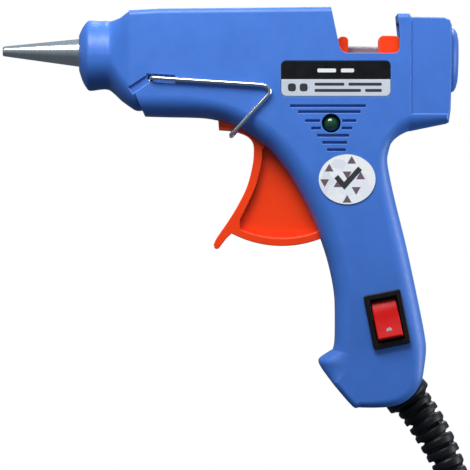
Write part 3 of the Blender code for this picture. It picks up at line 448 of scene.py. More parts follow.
def build_materials():
    steel_lines = (12.0, 1, 1)
    soft_gloss = (("Specular IOR Level", 0.28),)
    printed = {"grain": (1500.0, 0.05), "rounding": 0.0}
    return {
        # The lighter edge colours below are painted highlights on the edges of the blue, orange and red
        # plastics.
        "blue": surface("housing_blue", (0.045, 0.160, 0.570), 0.46, grain=(2400.0, 0.10), drift=0.05,
                        edge_highlight_colour=(0.20, 0.40, 0.80), rounding=0.3),
        "orange": surface("trigger_orange", (1.0, 0.052, 0.005), 0.36, grain=(1800.0, 0.06),
                          edge_highlight_colour=(1.0, 0.26, 0.10), rounding=0.4, settings=soft_gloss),
        "red": surface("rocker_red", (0.60, 0.007, 0.007), 0.34, grain=(1500.0, 0.04), rounding=0.3,
                       edge_highlight_colour=(0.85, 0.05, 0.04), settings=(("Specular IOR Level", 0.14),)),
        "black": surface("black_plastic", (0.006, 0.005, 0.006), 0.36, grain=(2400.0, 0.12), rounding=0.25,
                         settings=soft_gloss),
        "rubber": surface("black_rubber", (0.0040, 0.0035, 0.0055), 0.44, grain=(1600.0, 0.22), rounding=0.3,
                          settings=soft_gloss),
        "cord": surface("cord_sheath", (0.0050, 0.0045, 0.0060), 0.42, grain=(900.0, 0.18), rounding=0.0,
                        settings=soft_gloss),
        "nozzle": surface("nozzle_metal", (0.88, 0.88, 0.86), 0.17, 1.0, grain=(900.0, 0.05),
                          uneven=0.05, rounding=0.15, stretch=steel_lines),
        "cast": surface("cast_metal", (0.55, 0.55, 0.56), 0.5, 1.0, grain=(700.0, 0.5), rounding=0.2),
        "steel": surface("spring_steel", (0.55, 0.55, 0.56), 0.3, 1.0, grain=(900.0, 0.1), rounding=0.1),
        "wire": surface("stand_wire", (0.83, 0.83, 0.82), 0.15, 1.0, grain=(1200.0, 0.06), rounding=0.0,
                        stretch=steel_lines),
        "screw": surface("screw_steel", (0.30, 0.30, 0.31), 0.34, 1.0, grain=(1500.0, 0.15), rounding=0.2),
        "brass": surface("contact_brass", (0.75, 0.58, 0.28), 0.28, 1.0, grain=(1200.0, 0.1), rounding=0.2),
        "silicone": surface("silicone", (0.55, 0.10, 0.05), 0.6, grain=(900.0, 0.2), rounding=0.2),
        # The glue's dark grey-purple is painted shade: the stick's colour darkened to how it looks in the
        # shadow inside the notch.
        "glue": surface("glue", (0.15, 0.105, 0.14), 0.36, grain=(300.0, 0.12), drift=0.03, rounding=0.2,
                        settings=(("Subsurface Weight", 0.4), ("Subsurface Scale", 0.002),
                                  ("Specular IOR Level", 0.3))),
        "green": surface("green_lens", (0.010, 0.085, 0.030), 0.10, grain=(500.0, 0.05), rounding=0.0,
                         settings=(("Transmission Weight", 0.35), ("Coat Weight", 0.6))),
        "label_black": surface("label_black", (0.004, 0.004, 0.005), 0.34, grain=(1500.0, 0.05), rounding=0.1,
                               settings=soft_gloss),
        "label_silver": surface("label_silver", (0.62, 0.66, 0.72), 0.34, 0.15, grain=(1500.0, 0.05),
                                rounding=0.1),
        "print": surface("label_print", (0.030, 0.030, 0.034), 0.4, **printed),
        "print_light": surface("label_print_light", (0.75, 0.76, 0.78), 0.4, **printed),
        "white": surface("rocker_mark", (0.85, 0.85, 0.83), 0.4, **printed),
        "foil": facet_foil("foil"),
        # Painted shade for the foil's facets that face away from the light.
        "foil_painted_shade": surface("foil_painted_shade", (0.17, 0.12, 0.15), 0.30, 0.2, **printed),
        "lead_blue": surface("lead_blue", (0.02, 0.08, 0.45), 0.45, grain=(900.0, 0.1), rounding=0.0),
        "lead_brown": surface("lead_brown", (0.16, 0.05, 0.02), 0.45, grain=(900.0, 0.1), rounding=0.0),
        "strap": surface("cord_strap", (0.014, 0.014, 0.015), 0.75, grain=(2200.0, 0.9), drift=0.25,
                         rounding=0.2),
    }


def paint_cad_nodes(materials):
    """Give each piece that is shown as the frame has it a finished material."""
    finish = {
        "melt_chamber": "cast", "ptc_heater": "black", "heater_clip": "steel",
        "inlet_sleeve": "silicone", "grip_pawl": "steel",
        "pawl_pin": "steel", "trigger_pin": "steel", "return_spring": "steel",
        "switch_terminal_in": "brass", "switch_terminal_out": "brass", "led_resistor": "black",
        "cord_clamp": "black", "clamp_screw_1": "screw", "clamp_screw_2": "screw",
        "cord_tail": "cord", "lead_neutral": "lead_blue", "lead_switched": "lead_brown",
        "lead_live": "lead_brown", "carriage": "orange",
    }
    for node, key in finish.items():
        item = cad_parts[node]
        item.data.materials.clear()
        item.data.materials.append(materials[key])
        smooth_faces(item)


# ---------------------------------------------------------------- housing

# Each row is a point on the housing's outline (x, z), the point where its rounded edge
# meets the flat side (x, z), and how far the rounding reaches across (y). The runs follow one
# another round the housing, and each starts at the last row of the one before.
HOUSING_TOP = (
    (-59.7, 73.7, -59.7, 72.1, 1.6), (-38.0, 73.9, -38.0, 72.3, 1.6),
    (-10.1, 74.2, -10.1, 72.6, 1.6), (9.2, 72.3, 9.3, 70.9, 1.4),
    (12.5, 72.3, 12.4, 70.9, 1.4), (12.9, 71.3, 12.9, 69.9, 1.4),
    (22.6, 71.2, 22.2, 69.7, 1.5), (24.1, 70.5, 22.9, 69.2, 1.5),
    (24.7, 69.0, 23.2, 68.3, 1.5),
)
HOUSING_REAR = (
    (24.7, 56.0, 23.2, 56.0, 1.5), (24.4, 44.4, 22.9, 45.2, 2.0),
    (23.9, 40.8, 22.5, 43.0, 2.6), (13.3, 38.6, 13.2, 43.0, 4.4),
)
HOUSING_BACK = (
    (12.0, 38.3, 11.9, 42.8, 4.5), (9.2, 36.7, 9.0, 41.1, 4.5),
    (7.3, 34.8, 6.2, 38.0, 4.2), (6.5, 32.4, 3.9, 34.6, 4.0),
    (6.1, 29.9, 3.0, 30.9, 4.0), (6.7, 25.8, 3.0, 26.4, 4.5),
    (8.3, 18.5, 3.9, 18.8, 5.0), (11.3, 6.4, 6.4, 7.2, 5.0),
    (13.2, -2.1, 8.1, -1.3, 5.0), (15.7, -14.0, 10.7, -13.1, 5.0),
    (17.0, -20.9, 12.2, -20.4, 5.0), (17.4, -25.0, 12.9, -24.6, 4.8),
    (16.8, -30.2, 13.2, -29.5, 3.6), (15.9, -34.4, 13.2, -33.0, 2.8),
    (13.4, -38.3, 11.6, -36.3, 2.6), (9.7, -40.8, 8.5, -38.6, 2.4),
    (5.3, -41.7, 4.7, -39.4, 2.4),
)
HOUSING_FOOT = (
    (2.0, -41.8, 1.8, -39.7, 2.2), (-2.1, -41.7, -1.7, -39.8, 2.0),
    (-4.0, -41.4, -3.2, -39.9, 2.0), (-9.4, -35.2, -8.1, -34.2, 2.4),
)
HOUSING_HOOK = (
    (-11.2, -32.8, -6.0, -32.0, 4.0), (-12.9, -30.4, -4.4, -30.5, 5.0),
    (-13.6, -28.7, -3.8, -29.8, 5.0), (-13.1, -27.6, -3.6, -28.9, 5.0),
    (-11.4, -26.4, -3.6, -27.6, 5.0), (-9.4, -25.2, -3.8, -26.0, 5.0),
)
HOUSING_FRONT = (
    (-8.9, -22.6, -4.2, -22.6, 5.0), (-8.8, -14.9, -4.3, -14.8, 5.0),
    (-9.1, -8.5, -4.5, -7.8, 5.2), (-10.6, -0.8, -5.6, 0.4, 5.6),
    (-12.8, 6.4, -7.6, 8.0, 5.8), (-15.7, 13.5, -10.4, 15.6, 6.0),
    (-19.3, 20.7, -14.0, 23.2, 6.0), (-22.9, 26.7, -18.1, 29.9, 6.2),
    (-27.6, 32.5, -23.6, 36.6, 6.4), (-30.9, 35.3, -27.6, 40.0, 6.4),
    (-34.4, 37.9, -31.6, 42.6, 6.4), (-37.9, 39.8, -35.9, 44.7, 6.4),
    (-41.8, 41.3, -40.3, 46.4, 6.4), (-46.1, 42.2, -45.4, 47.7, 6.4),
    (-51.0, 42.5, -50.8, 48.5, 6.4), (-57.2, 42.6, -57.2, 48.7, 6.4),
    (-64.2, 42.8, -66.8, 48.8, 6.4),
)
HOUSING_NOSE = (
    (-65.8, 46.4, -67.2, 50.6, 5.0), (-67.6, 52.7, -67.8, 54.5, 3.0),
    (-68.2, 60.4, -68.2, 61.5, 1.6), (-68.8, 73.2, -68.5, 71.6, 1.6),
)
HOUSING_RUNS = (
    (HOUSING_TOP, 1),
    (HOUSING_REAR, 1),
    (HOUSING_BACK, 4),
    (HOUSING_FOOT, 3),
    (HOUSING_HOOK, 4),
    (HOUSING_FRONT, 4),
    (HOUSING_NOSE, 1),
)

# x, top z, bottom z, half width, top corner radius, bottom corner radius.
NOSE_SECTIONS = (
    (-64.6, 72.6, 44.6, 12.4, 2.0, 6.0), (-66.8, 73.2, 44.5, 12.95, 2.0, 6.4),
    (-68.7, 72.9, 45.6, 12.95, 2.4, 6.6), (-71.2, 71.3, 47.4, 11.7, 6.0, 8.0),
    (-74.0, 70.5, 50.0, 10.3, 9.9, 9.9), (-75.6, 70.6, 50.6, 10.0, 9.8, 9.8),
    (-77.4, 70.5, 50.5, 10.0, 9.8, 9.8), (-80.3, 70.7, 50.2, 10.25, 10.0, 10.0),
    (-81.4, 70.0, 51.2, 9.4, 9.2, 9.2), (-82.5, 68.4, 53.2, 7.6, 7.4, 7.4),
    (-83.4, 66.4, 56.0, 5.2, 5.0, 5.0),
)

GROOVES = (
    (45.5, -22.1, -0.2), (43.8, -19.8, -1.7),
    (41.2, -17.8, -13.4), (41.2, -7.0, -3.0),
    (39.05, -16.0, -13.2), (39.05, -7.2, -4.1),
    (36.95, -14.3, -5.0), (34.9, -12.8, -5.6),
    (32.8, -11.4, -6.0),
)


def housing_rows(smoothed=True):
    rows = []
    start = HOUSING_NOSE[-1]
    for run, steps in HOUSING_RUNS:
        rows += smooth_through((start, *run), steps if smoothed else 1)[:-1]
        start = run[-1]
    return rows


def rounded_solid(rows, half_width, steps):
    """A slab whose outline is rounded over to its two flat sides."""
    loops = []
    angles = [90 * step / steps for step in range(steps + 1)]
    for side in (-1, 1):
        for angle in reversed(angles) if side < 0 else angles:
            inward = 1 - cos(radians(angle))
            loop = []
            for x, z, flat_x, flat_z, reach in rows:
                across = half_width - reach * (1 - sin(radians(angle)))
                loop.append((x + (flat_x - x) * inward, side * across, z + (flat_z - z) * inward))
            loops.append(loop)
    return skin_loops(loops)


def cavity_rows(rows):
    """The same outline a wall's thickness further in."""
    inner = []
    for x, z, flat_x, flat_z, reach in rows:
        depth = hypot(flat_x - x, flat_z - z)
        toward = ((flat_x - x) / depth, (flat_z - z) / depth)
        start = (x + toward[0] * WALL, z + toward[1] * WALL)
        further = max(depth - WALL, 0.0) + 0.8
        flat = (start[0] + toward[0] * further, start[1] + toward[1] * further)
        if x < NOSE_START:
            start = (x + NOSE_WALL, min(max(z, 45.0), 71.0))
            flat = (flat_x + NOSE_WALL, min(max(flat_z, 49.6), 70.4))
        inner.append((*start, *flat, max(reach - 0.8, 1.0)))
    return inner


def rounded_section(x, top, bottom, half_width, top_radius, bottom_radius, steps=5):
    corners = (
        (half_width - top_radius, top - top_radius, top_radius, 0),
        (-half_width + top_radius, top - top_radius, top_radius, 90),
        (-half_width + bottom_radius, bottom + bottom_radius, bottom_radius, 180),
        (half_width - bottom_radius, bottom + bottom_radius, bottom_radius, 270),
    )
    loop = []
    for y, z, radius, angle in corners:
        for point in circle_points((y, z), radius, angle, angle + 90, steps):
            loop.append((x, *point))
    return loop


def notch_outline():
    corner = circle_points((-5.4, 63.3), 2.5, 190, 270, 3)
    far = circle_points((8.0, 62.4), 1.6, 270, 360, 3)
    return [(-10.6, 76.0)] + corner + far + [(9.7, 66.0), (9.1, 72.0), (9.1, 76.0)]


def slot_outline():
    return [(-43.6, 30.0), (-43.6, 44.8), (-30.0, 46.0), (-8.0, 22.0), (-8.0, 6.3), (-30.0, 6.3)]


def stand_recess(side):
    """The two shallow grooves beside each stand hole, a stop for each end of its swing."""
    low, high = sorted((side * (HALF_WIDTH - 0.7), side * (HALF_WIDTH + 1.0)))
    rear = [(-63.6, 54.9), (-63.6, 52.6), (-55.3, 51.9), (-55.3, 54.4)]
    front = [(-61.4, 53.2), (-62.8, 54.9), (-68.9, 50.9), (-67.6, 48.9)]
    return [prism(rear, low, high), prism(front, low, high)]


def groove_cutters(side):
    low, high = sorted((side * (HALF_WIDTH - 0.8), side * (HALF_WIDTH + 1.0)))
    cutters = []
    for z, start, end in GROOVES:
        cutters.append(block((start, low, z - 0.42), (end, high, z + 0.42)))
    return cutters


def placed(bm, matrix):
    bmesh.ops.transform(bm, matrix=matrix, verts=bm.verts)
    return bm


def switch_matrix(y):
    """Places a shape whose height runs along Z into the tilted switch opening."""
    turn = Matrix.Rotation(radians(-SWITCH_TILT), 4, "Y")
    return Matrix.Translation((SWITCH_CENTRE[0], y, SWITCH_CENTRE[1])) @ turn


def relief_point(t):
    """The strain relief's centre line, from the housing at 0 to its end at 1."""
    start, middle, end = (12.5, -39.1), (21.0, -49.6), (CORD_EXIT[0], CORD_EXIT[2])
    weights = ((1 - t) ** 2, 2 * t * (1 - t), t * t)
    x = sum(w * p[0] for w, p in zip(weights, (start, middle, end)))
    z = sum(w * p[1] for w, p in zip(weights, (start, middle, end)))
    return Vector((x, 0.0, z))


def nose_solid():
    sections = smooth_through(NOSE_SECTIONS[:4], 3)[:-1] + smooth_through(NOSE_SECTIONS[3:], 3)
    return skin_loops([rounded_section(*section, steps=12) for section in sections])


def turned_on_feed(profile, steps=48):
    """A shape turned about the feed axis, tilted into place."""
    turn = Matrix.Rotation(radians(FEED_TILT), 4, "Y")
    return placed(turned(profile, steps), Matrix.Translation((0, 0, FEED_HEIGHT)) @ turn)


def relief_frame(distance):
    """Centre and direction on the relief's line: straight inside the grip, curved outside."""
    if distance <= 0:
        return relief_point(0) + RELIEF_ENTRY * distance, RELIEF_ENTRY
    length = sum((relief_point((i + 1) / 40) - relief_point(i / 40)).length for i in range(40))
    t = distance / length
    return relief_point(t), (relief_point(t + 0.01) - relief_point(t - 0.01)).normalized()


def relief_rings(profile, steps=40):
    """Rings (distance, radius) on the relief's line."""
    loops = []
    for distance, radius in profile:
        centre, direction = relief_frame(distance)
        side = Vector((direction.z, 0.0, -direction.x))
        loops.append([centre + radius * (cos(angle) * side + sin(angle) * Vector((0, 1, 0)))
                      for angle in angles(steps)])
    return loops


def side_cutters(side):
    """Everything that is cut into one half, as two groups whose pieces don't meet."""
    first = groove_cutters(side)
    rear, front = stand_recess(side)
    low, high = sorted((side * 12.4, side * 20.0))
    first += [rear, block((12.9, low, 43.2), (30.0, high, 80.0))]
    first += [rod(place, SCREW_SHANK_RADIUS + CLEAR, -9.6, 9.4, 24) for place in HOUSING_SCREWS]
    second = [front, rod(TRIGGER_PIVOT, 1.8, -10.6, 10.6, 20)]
    if side < 0:
        first.append(rod(LED_PLACE, 2.75, -20, -9, 40))
        first.append(placed(block((-4.9, -4, -7.1), (4.9, 4, 7.1)), switch_matrix(-13)))
        first.append(rounded_box((-24.8, -14, 48.2), (7.1, -12.5, 58.6), 1.6, 8))
    else:
        counterbore = SCREW_HEAD_RADIUS + CLEAR
        second += [rod(place, counterbore, 10.3, 20, 36) for place in HOUSING_SCREWS]
    return join(*first), join(*second)


def build_housing(materials):
    rows = housing_rows()
    cavity = cavity_rows(housing_rows(False))
    for name, side in (("left_shell", -1), ("right_shell", 1)):
        shell = add_object("shell_" + name.split("_")[0], rounded_solid(rows, HALF_WIDTH, OUTER_STEPS),
                           materials["blue"])
        cut(shell, nose_solid(), "UNION")
        inlet = [(23.0, 0), (23.0, 9.4), (25.2, 9.4), (25.9, 9.0), (26.5, 8.0), (26.9, 6.2), (26.9, 0)]
        cut(shell, turned_on_feed(inlet, 64), "UNION")
        cut(shell, rounded_solid(cavity, HALF_WIDTH - 2.0, CAVITY_STEPS))
        cut(shell, turned_on_feed([(-81.2, 0), (-81.2, 8.3), (-63.0, 8.3), (-63.0, 0)]))
        low, high = -INNER_FACE, INNER_FACE
        inner = [block((-51.0, low, 46.0), (-49.6, high, 64.0))]
        inner += [rod(place, PILLAR_RADIUS, low, high, 24) for place in HOUSING_SCREWS]
        cut(shell, join(*inner), "UNION")
        if side > 0:
            cut(shell, join(*[rod(p, SEAT_RADIUS, 8.4, INNER_FACE, 24) for p in HOUSING_SCREWS]), "UNION")
        cut(shell, join(
            turned_on_feed([(-86.0, 0), (-86.0, 4.6), (-80.0, 4.6), (-80.0, 0)]),
            turned_on_feed([(-55.0, 0), (-55.0, 6.5), (-45.0, 6.5), (-45.0, 0)]),
            turned_on_feed([(19.0, 0), (19.0, 4.2), (26.2, 4.2), (30.0, 6.2), (30.0, 0)]),
            prism(notch_outline(), -20, 20),
            prism(slot_outline(), -7.4, 7.4),
            skin_loops(relief_rings([(-10.0, 3.7), (4.0, 3.7)])),
            rod(STAND_PIVOT, 0.95, -20, 20, 20),
        ))
        for tool in side_cutters(side):
            cut(shell, tool)
        low, high = sorted((side * 40.0, side * SEAM_HALF_GAP))
        cut(shell, block((-150, low, -100), (100, high, 100)), "INTERSECT")
        even_normals(shell)
        stands_for(shell, "gun", "housing_blue", name)


# ---------------------------------------------------------------- nozzle and feed

def build_feed(materials):
    profile = [(-105.7, 0.75), (-105.7, 1.1), (-105.6, 1.3), (-105.3, 1.45)]
    profile += [(-83.6, 4.03), (-80.5, 4.1), (-80.5, 4.5), (-79.0, 4.5), (-79.0, 3.6)]
    profile += [(-72.5, 3.6), (-72.5, 2.6), (-81.0, 2.6), (-98.0, 0.75)]
    nozzle = add_object("nozzle_cone", turned_on_feed(profile, 72), materials["nozzle"], 50.0)
    stands_for(nozzle, "gun", "nozzle_metal", "nozzle")
    end = [(25.4 - 0.5 + 0.5 * cos(radians(a)), STICK_RADIUS - 0.5 + 0.5 * sin(radians(a)))
           for a in (90, 60, 30, 0)]
    stick = [(-67.4, 0), (-67.3, 1.9), (-66.9, 2.8), (-66.1, STICK_RADIUS)] + end + [(25.4, 0)]
    # The stick's glue material is darkened to paint the shade it lies in.
    item = add_object("stick_of_glue", turned_on_feed(stick, 56), materials["glue"], 60.0)
    stands_for(item, "stick", "glue", "glue_stick")
    band = [(-45.4, 6.0), (-43.9, 6.0), (-43.9, 5.6), (-45.4, 5.6)]
    ring = add_object("sleeve_ring", turned_on_feed(band, 48), materials["steel"], 50.0)
    stands_for(ring, "gun", "spring_steel", "sleeve_band")


# ---------------------------------------------------------------- trigger

TRIGGER_FACE = (
    (-42.7, 38.8), (-38.6, 38.4), (-35.0, 37.3), (-33.0, 35.5), (-32.5, 33.0), (-32.9, 28.4),
    (-34.5, 22.3), (-37.1, 16.9), (-39.9, 12.3), (-43.2, 7.5), (-44.2, 5.4),
)
TRIGGER_TAIL = ((-43.9, 4.3), (-42.9, 4.2), (-41.9, 5.4), (-40.6, 7.1))
TRIGGER_HIDDEN = (
    (-8.2, 16.0), (-13.0, 26.0), (-20.0, 36.0), (-29.0, 44.0), (-35.0, 48.2), (-41.2, 48.4),
    (-43.1, 45.6),
)
TRIGGER_SHOULDER = ((-42.0, 46.6), (-36.4, 46.6), (-35.8, 50.4), (-41.6, 50.4))
TRIGGER_FORK = (
    (-41.9, 48.6), (-36.0, 48.6), (-34.0, 57.0), (-33.9, 60.2), (-36.0, 61.9), (-38.2, 60.9),
)


def sweep_angle(x, z):
    return atan2(z - TRIGGER_SWEEP[1], x - TRIGGER_SWEEP[0]) * 180 / pi


def trigger_outline():
    start = sweep_angle(-39.0, 8.6)
    end = sweep_angle(-8.3, 9.4)
    foot = circle_points(TRIGGER_SWEEP[:2], TRIGGER_SWEEP[2], start, end, 30)
    return smooth_through(TRIGGER_FACE, 6) + smooth_through(TRIGGER_TAIL, 4) + foot + list(TRIGGER_HIDDEN)


def recess_outline():
    """The hollow in each side of the trigger, inside its front and lower rims."""
    front = ((-30.0, 33.0), (-30.4, 28.4), (-32.0, 22.3), (-34.4, 16.9), (-36.6, 12.6))
    start = sweep_angle(-36.3, 10.6)
    end = sweep_angle(-10.5, 11.6)
    foot = circle_points(TRIGGER_SWEEP[:2], TRIGGER_SWEEP[2] - 2.2, start, end, 24)
    return smooth_through(front, 5) + foot + [(-14.0, 22.0), (-20.0, 31.0), (-27.0, 36.0)]


def build_trigger(materials):
    outline = trigger_outline()
    trigger = add_object("trigger_lever", prism(outline, -TRIGGER_HALF_WIDTH, TRIGGER_HALF_WIDTH),
                         materials["orange"])
    recess = [prism(recess_outline(), *sorted((side * 4.4, side * 9.0))) for side in (-1, 1)]
    cut(trigger, join(*recess))
    soften(trigger, 0.45, 3, 50.0)
    bake(trigger)
    cut(trigger, prism(TRIGGER_SHOULDER, -FORK_OUTER, FORK_OUTER), "UNION")
    forks = []
    stubs = []
    for side in (-1, 1):
        forks.append(prism(TRIGGER_FORK, *sorted((side * FORK_INNER, side * (FORK_OUTER - 0.1)))))
        stubs.append(rod(DRIVE_PIN, 1.3, *sorted((side * 6.3, side * (FORK_INNER + 0.5))), 24))
    cut(trigger, join(*forks), "UNION")
    cut(trigger, join(*stubs), "UNION")
    holes = [rod(TRIGGER_PIVOT, 1.8, -12, 12, 24), rod((-11.4, 14.2), 0.9, -12, 12, 16)]
    cut(trigger, join(*holes))
    even_normals(trigger)
    stands_for(trigger, "trigger", "trigger_orange", "trigger")


# ---------------------------------------------------------------- stand, switch, marks, screws

def build_stand(materials):
    """From its hook in one hole, back along the side, down, across and the same again."""
    half = STAND_HALF_WIDTH
    x, z = STAND_PIVOT
    entry = [(x, -10.6, z), (x, -12.6, z), (x + 0.15, -13.5, z), (x + 0.7, -13.9, z - 0.03),
             (x + 1.6, -half, z - 0.07)]
    side = [(x, -half, z) for x, z in smooth_through(STAND_KNEE, 4)]
    x, z = STAND_FOOT
    turn = [(x + 1.4, -half, z + 1.5), (x + 0.6, -13.9, z + 0.6), (x + 0.15, -13.5, z + 0.15), (x, -12.6, z)]
    route = entry + side + turn
    route += [(x, -y, z) for x, y, z in reversed(route)]
    item = wire("stand_bail", route, STAND_WIRE_RADIUS, materials["wire"], 5)
    stands_for(item, "stand", "stand_wire", "stand_wire")


def rocker_outline(x):
    """Side view of the rocker (y, z), its lower end pressed out and its upper end in."""
    face = smooth_through(((0.5, 5.7), (-0.7, 3.0), (-1.4, 0.0), (-2.2, -2.6), (-3.1, -5.1)), 5)
    return [(x, y, z) for y, z in face + [(-2.4, -5.5), (0.2, -5.4), (2.2, -1.2), (1.8, 4.6)]]


def build_switch(materials):
    seat = switch_matrix(-HALF_WIDTH - CLEAR)
    rim = placed(rounded_box((-5.5, -1.2, -8.0), (5.5, 0.0, 8.0), 0.9, 6), seat)
    bezel = add_object("switch_bezel", rim, materials["black"])
    soften(bezel, 0.35, 3, 60.0)
    bake(bezel)
    cut(bezel, placed(block((-4.6, -0.5, -6.8), (4.6, 9.0, 6.8)), seat), "UNION")
    cut(bezel, placed(block((-4.0, -3.0, -6.4), (4.0, 4.6, 6.4)), seat))
    even_normals(bezel)
    stands_for(bezel, "gun", "black_plastic", "switch_body")
    rocker = add_object("switch_key", placed(skin_loops([rocker_outline(x) for x in (-3.65, 3.65)]), seat),
                        materials["red"])
    soften(rocker, 0.3, 3, 50.0)
    even_normals(rocker)
    stands_for(rocker, "rocker", "rocker_red", "switch_rocker")
    dot = rod((0.0, 0.0), 0.85, -0.05, 0.05, 32)
    lean = Matrix.Translation((0, -2.42, -3.2)) @ Matrix.Rotation(radians(20), 4, "X")
    mark = add_object("switch_mark", placed(placed(dot, lean), seat), materials["white"])
    stands_for(mark, "rocker", "rocker_red")


LABEL = ((-24.6, 6.9), (48.4, 58.4))
LABEL_SPLIT = 53.2
LABEL_FACE = -12.98
# The dark bars on the silver part: x, z, width and height from its lower left corner.
DARK_BARS = (
    (9.6, 2.95, 8.6, 0.85), (19.4, 2.95, 9.6, 0.85), (9.6, 1.15, 13.4, 0.85),
    (24.2, 1.15, 4.8, 0.85), (1.9, 1.3, 2.3, 2.3), (5.3, 1.3, 2.3, 2.3),
)


def label_bar(x, z, width, height):
    return rounded_box((x, LABEL_FACE - 0.03, z), (x + width, LABEL_FACE + 0.05, z + height),
                       min(width, height) * 0.3, 2)


def build_label(materials):
    (x_low, x_high), (z_low, z_high) = LABEL
    base = rounded_box((x_low, LABEL_FACE, z_low), (x_high, -12.7, z_high), 1.45, 8)
    item = add_object("rating_plate", base, materials["label_black"])
    stands_for(item, "gun", "label_film", "rating_label")
    corners = [circle_points((x_low + 1.45, z_low + 1.45), 1.46, 180, 270, 8),
               circle_points((x_high - 1.45, z_low + 1.45), 1.46, 270, 360, 8)]
    outline = corners[0] + corners[1] + [(x_high + 0.01, LABEL_SPLIT), (x_low - 0.01, LABEL_SPLIT)]
    silver = prism(outline, LABEL_FACE - 0.015, LABEL_FACE + 0.2)
    panel = add_object("rating_panel", silver, materials["label_silver"])
    stands_for(panel, "gun", "label_film")
    dark = [label_bar(x_low + bar[0], z_low + bar[1], *bar[2:]) for bar in DARK_BARS]
    stands_for(add_object("rating_bars", join(*dark), materials["print"]), "gun", "label_film")
    light = [label_bar(x_low + x, LABEL_SPLIT + 2.0, width, 1.1) for x, width in ((10.4, 5.4), (17.2, 3.8))]
    stands_for(add_object("rating_title_bars", join(*light), materials["print_light"]), "gun", "label_film")


def facets_in_painted_shade():
    """Triangles painted darker as shade, standing for facets of the film that face away from the light, on a
    grid of triangles.
    """
    side, height = 2.6, 2.25
    (middle_x, middle_z), (wide, high) = STICKER_CENTRE, STICKER_RADII
    facets = []
    for row in range(-3, 4):
        for column in range(-5, 6):
            x = middle_x + (column + 0.5 * (row % 2)) * side
            z = middle_z + row * height
            kind = (3 * column + 5 * row) % 7
            corners = [(x, z), (x + side * 0.5, z + height), (x - side * 0.5, z + height)]
            if kind == 3:
                corners = [(x, z), (x + side, z), (x + side * 0.5, z + height)]
            reach = [hypot((u - middle_x) / wide, (v - middle_z) / high) for u, v in corners]
            if kind in (0, 3) and max(reach) < 0.97:
                facets.append(corners)
    return facets


def build_sticker(materials):
    edge = []
    for angle in angles(72):
        edge.append((STICKER_CENTRE[0] + STICKER_RADII[0] * cos(angle),
                     STICKER_CENTRE[1] + STICKER_RADII[1] * sin(angle)))
    item = add_object("foil_disc", prism(edge, -13.35, -13.2), materials["foil"])
    stands_for(item, "gun", "foil", "check_sticker")
    # Painted shade: darker flat triangles for the film's facets that face away from the light.
    facets = [prism(facet, -13.37, -13.3) for facet in facets_in_painted_shade()]
    stands_for(add_object("foil_facets", join(*facets), materials["foil_painted_shade"]), "gun", "foil")
    tick = [(-9.3, 24.6), (-8.2, 25.6), (-6.5, 23.5), (-2.4, 28.0), (-1.3, 27.0), (-6.4, 21.3)]
    mark = add_object("foil_tick", prism(tick, -13.41, -13.33), materials["print"])
    stands_for(mark, "gun", "foil")


def build_led(materials):
    dome = [(-12.9 + 2.45 * (1 - cos(radians(a))), 2.45 * sin(radians(a))) for a in range(0, 91, 9)]
    profile = dome + [(-6.6, 2.45), (-6.6, 0)]
    bm = turned(profile, 40)
    bmesh.ops.rotate(bm, cent=(0, 0, 0), matrix=Matrix.Rotation(radians(90), 3, "Z"), verts=bm.verts)
    bmesh.ops.translate(bm, vec=(LED_PLACE[0], 0, LED_PLACE[1]), verts=bm.verts)
    item = add_object("pilot_lamp", bm, materials["green"], 60.0)
    stands_for(item, "gun", "green_lens", "led")


def build_screws(materials):
    for number, place in enumerate(HOUSING_SCREWS, 1):
        head = rod(place, SCREW_HEAD_RADIUS, 10.6, SCREW_HEAD_Y, 40)
        screw = add_object("case_screw_%d" % number, head, materials["screw"])
        soften(screw, 0.45, 4, 60.0)
        bake(screw)
        bars = []
        for width, height in ((0.35, 1.4), (1.4, 0.35)):
            low = (place[0] - width, SCREW_HEAD_Y - 0.9, place[1] - height)
            bars.append(block(low, (place[0] + width, SCREW_HEAD_Y + 1.0, place[1] + height)))
        cut(screw, bars[0])
        cut(screw, bars[1])
        cut(screw, rod(place, SCREW_SHANK_RADIUS, -9.0, 10.9, 20), "UNION")
        even_normals(screw)
        stands_for(screw, "gun", "screw_steel", "housing_screw_%d" % number)


# ---------------------------------------------------------------- lead

def build_relief(materials):
    outside = [(-3.2, 6.7), (0.2, 6.9), (0.7, 6.8), (1.1, 6.4), (1.4, 5.7), (1.8, 5.3)]
    for rib in range(RELIEF_RIBS):
        start = 2.2 + rib * RELIEF_PITCH
        radius = 5.45 - 0.02 * rib * rib
        valley = radius - 0.6
        outside += [(start, valley), (start + 0.3, radius - 0.25), (start + 0.75, radius)]
        outside += [(start + 2.1, radius), (start + 2.55, radius - 0.25), (start + 2.85, valley)]
    outside += [(29.4, 4.1), (30.6, 4.0), (31.0, 3.6)]
    body = add_object("relief_sleeve", skin_loops(relief_rings(outside, 48)), materials["rubber"])
    cut(body, rod(HEEL_CENTRE, HEEL_RADIUS + CLEAR, -20, 20, 120))
    cut(body, skin_loops(relief_rings([(-6.6, 4.6), (-4.6, 4.6), (-4.6, 3.3), (1.0, 3.3)])), "UNION")
    slots = []
    for rib in range(RELIEF_RIBS - 1):
        centre, direction = relief_frame(2.2 + (rib + 1) * RELIEF_PITCH - 0.3)
        turn = Matrix.Rotation(atan2(direction.x, direction.z), 4, "Y")
        seat = Matrix.Translation(centre) @ turn
        for low, high in ((-9.0, -3.4), (3.4, 9.0)):
            corners = (low, -3.0, -0.62), (high, 3.0, 0.62)
            if rib % 2 == 0:
                corners = (-3.0, low, -0.62), (3.0, high, 0.62)
            slots.append(placed(block(*corners), seat))
    cut(body, join(*slots))
    cut(body, skin_loops(relief_rings([(27.4, CORD_RADIUS + 0.15), (36.0, CORD_RADIUS + 0.15)], 40)))
    even_normals(body)
    return stands_for(body, "gun", "black_rubber", "strain_relief")


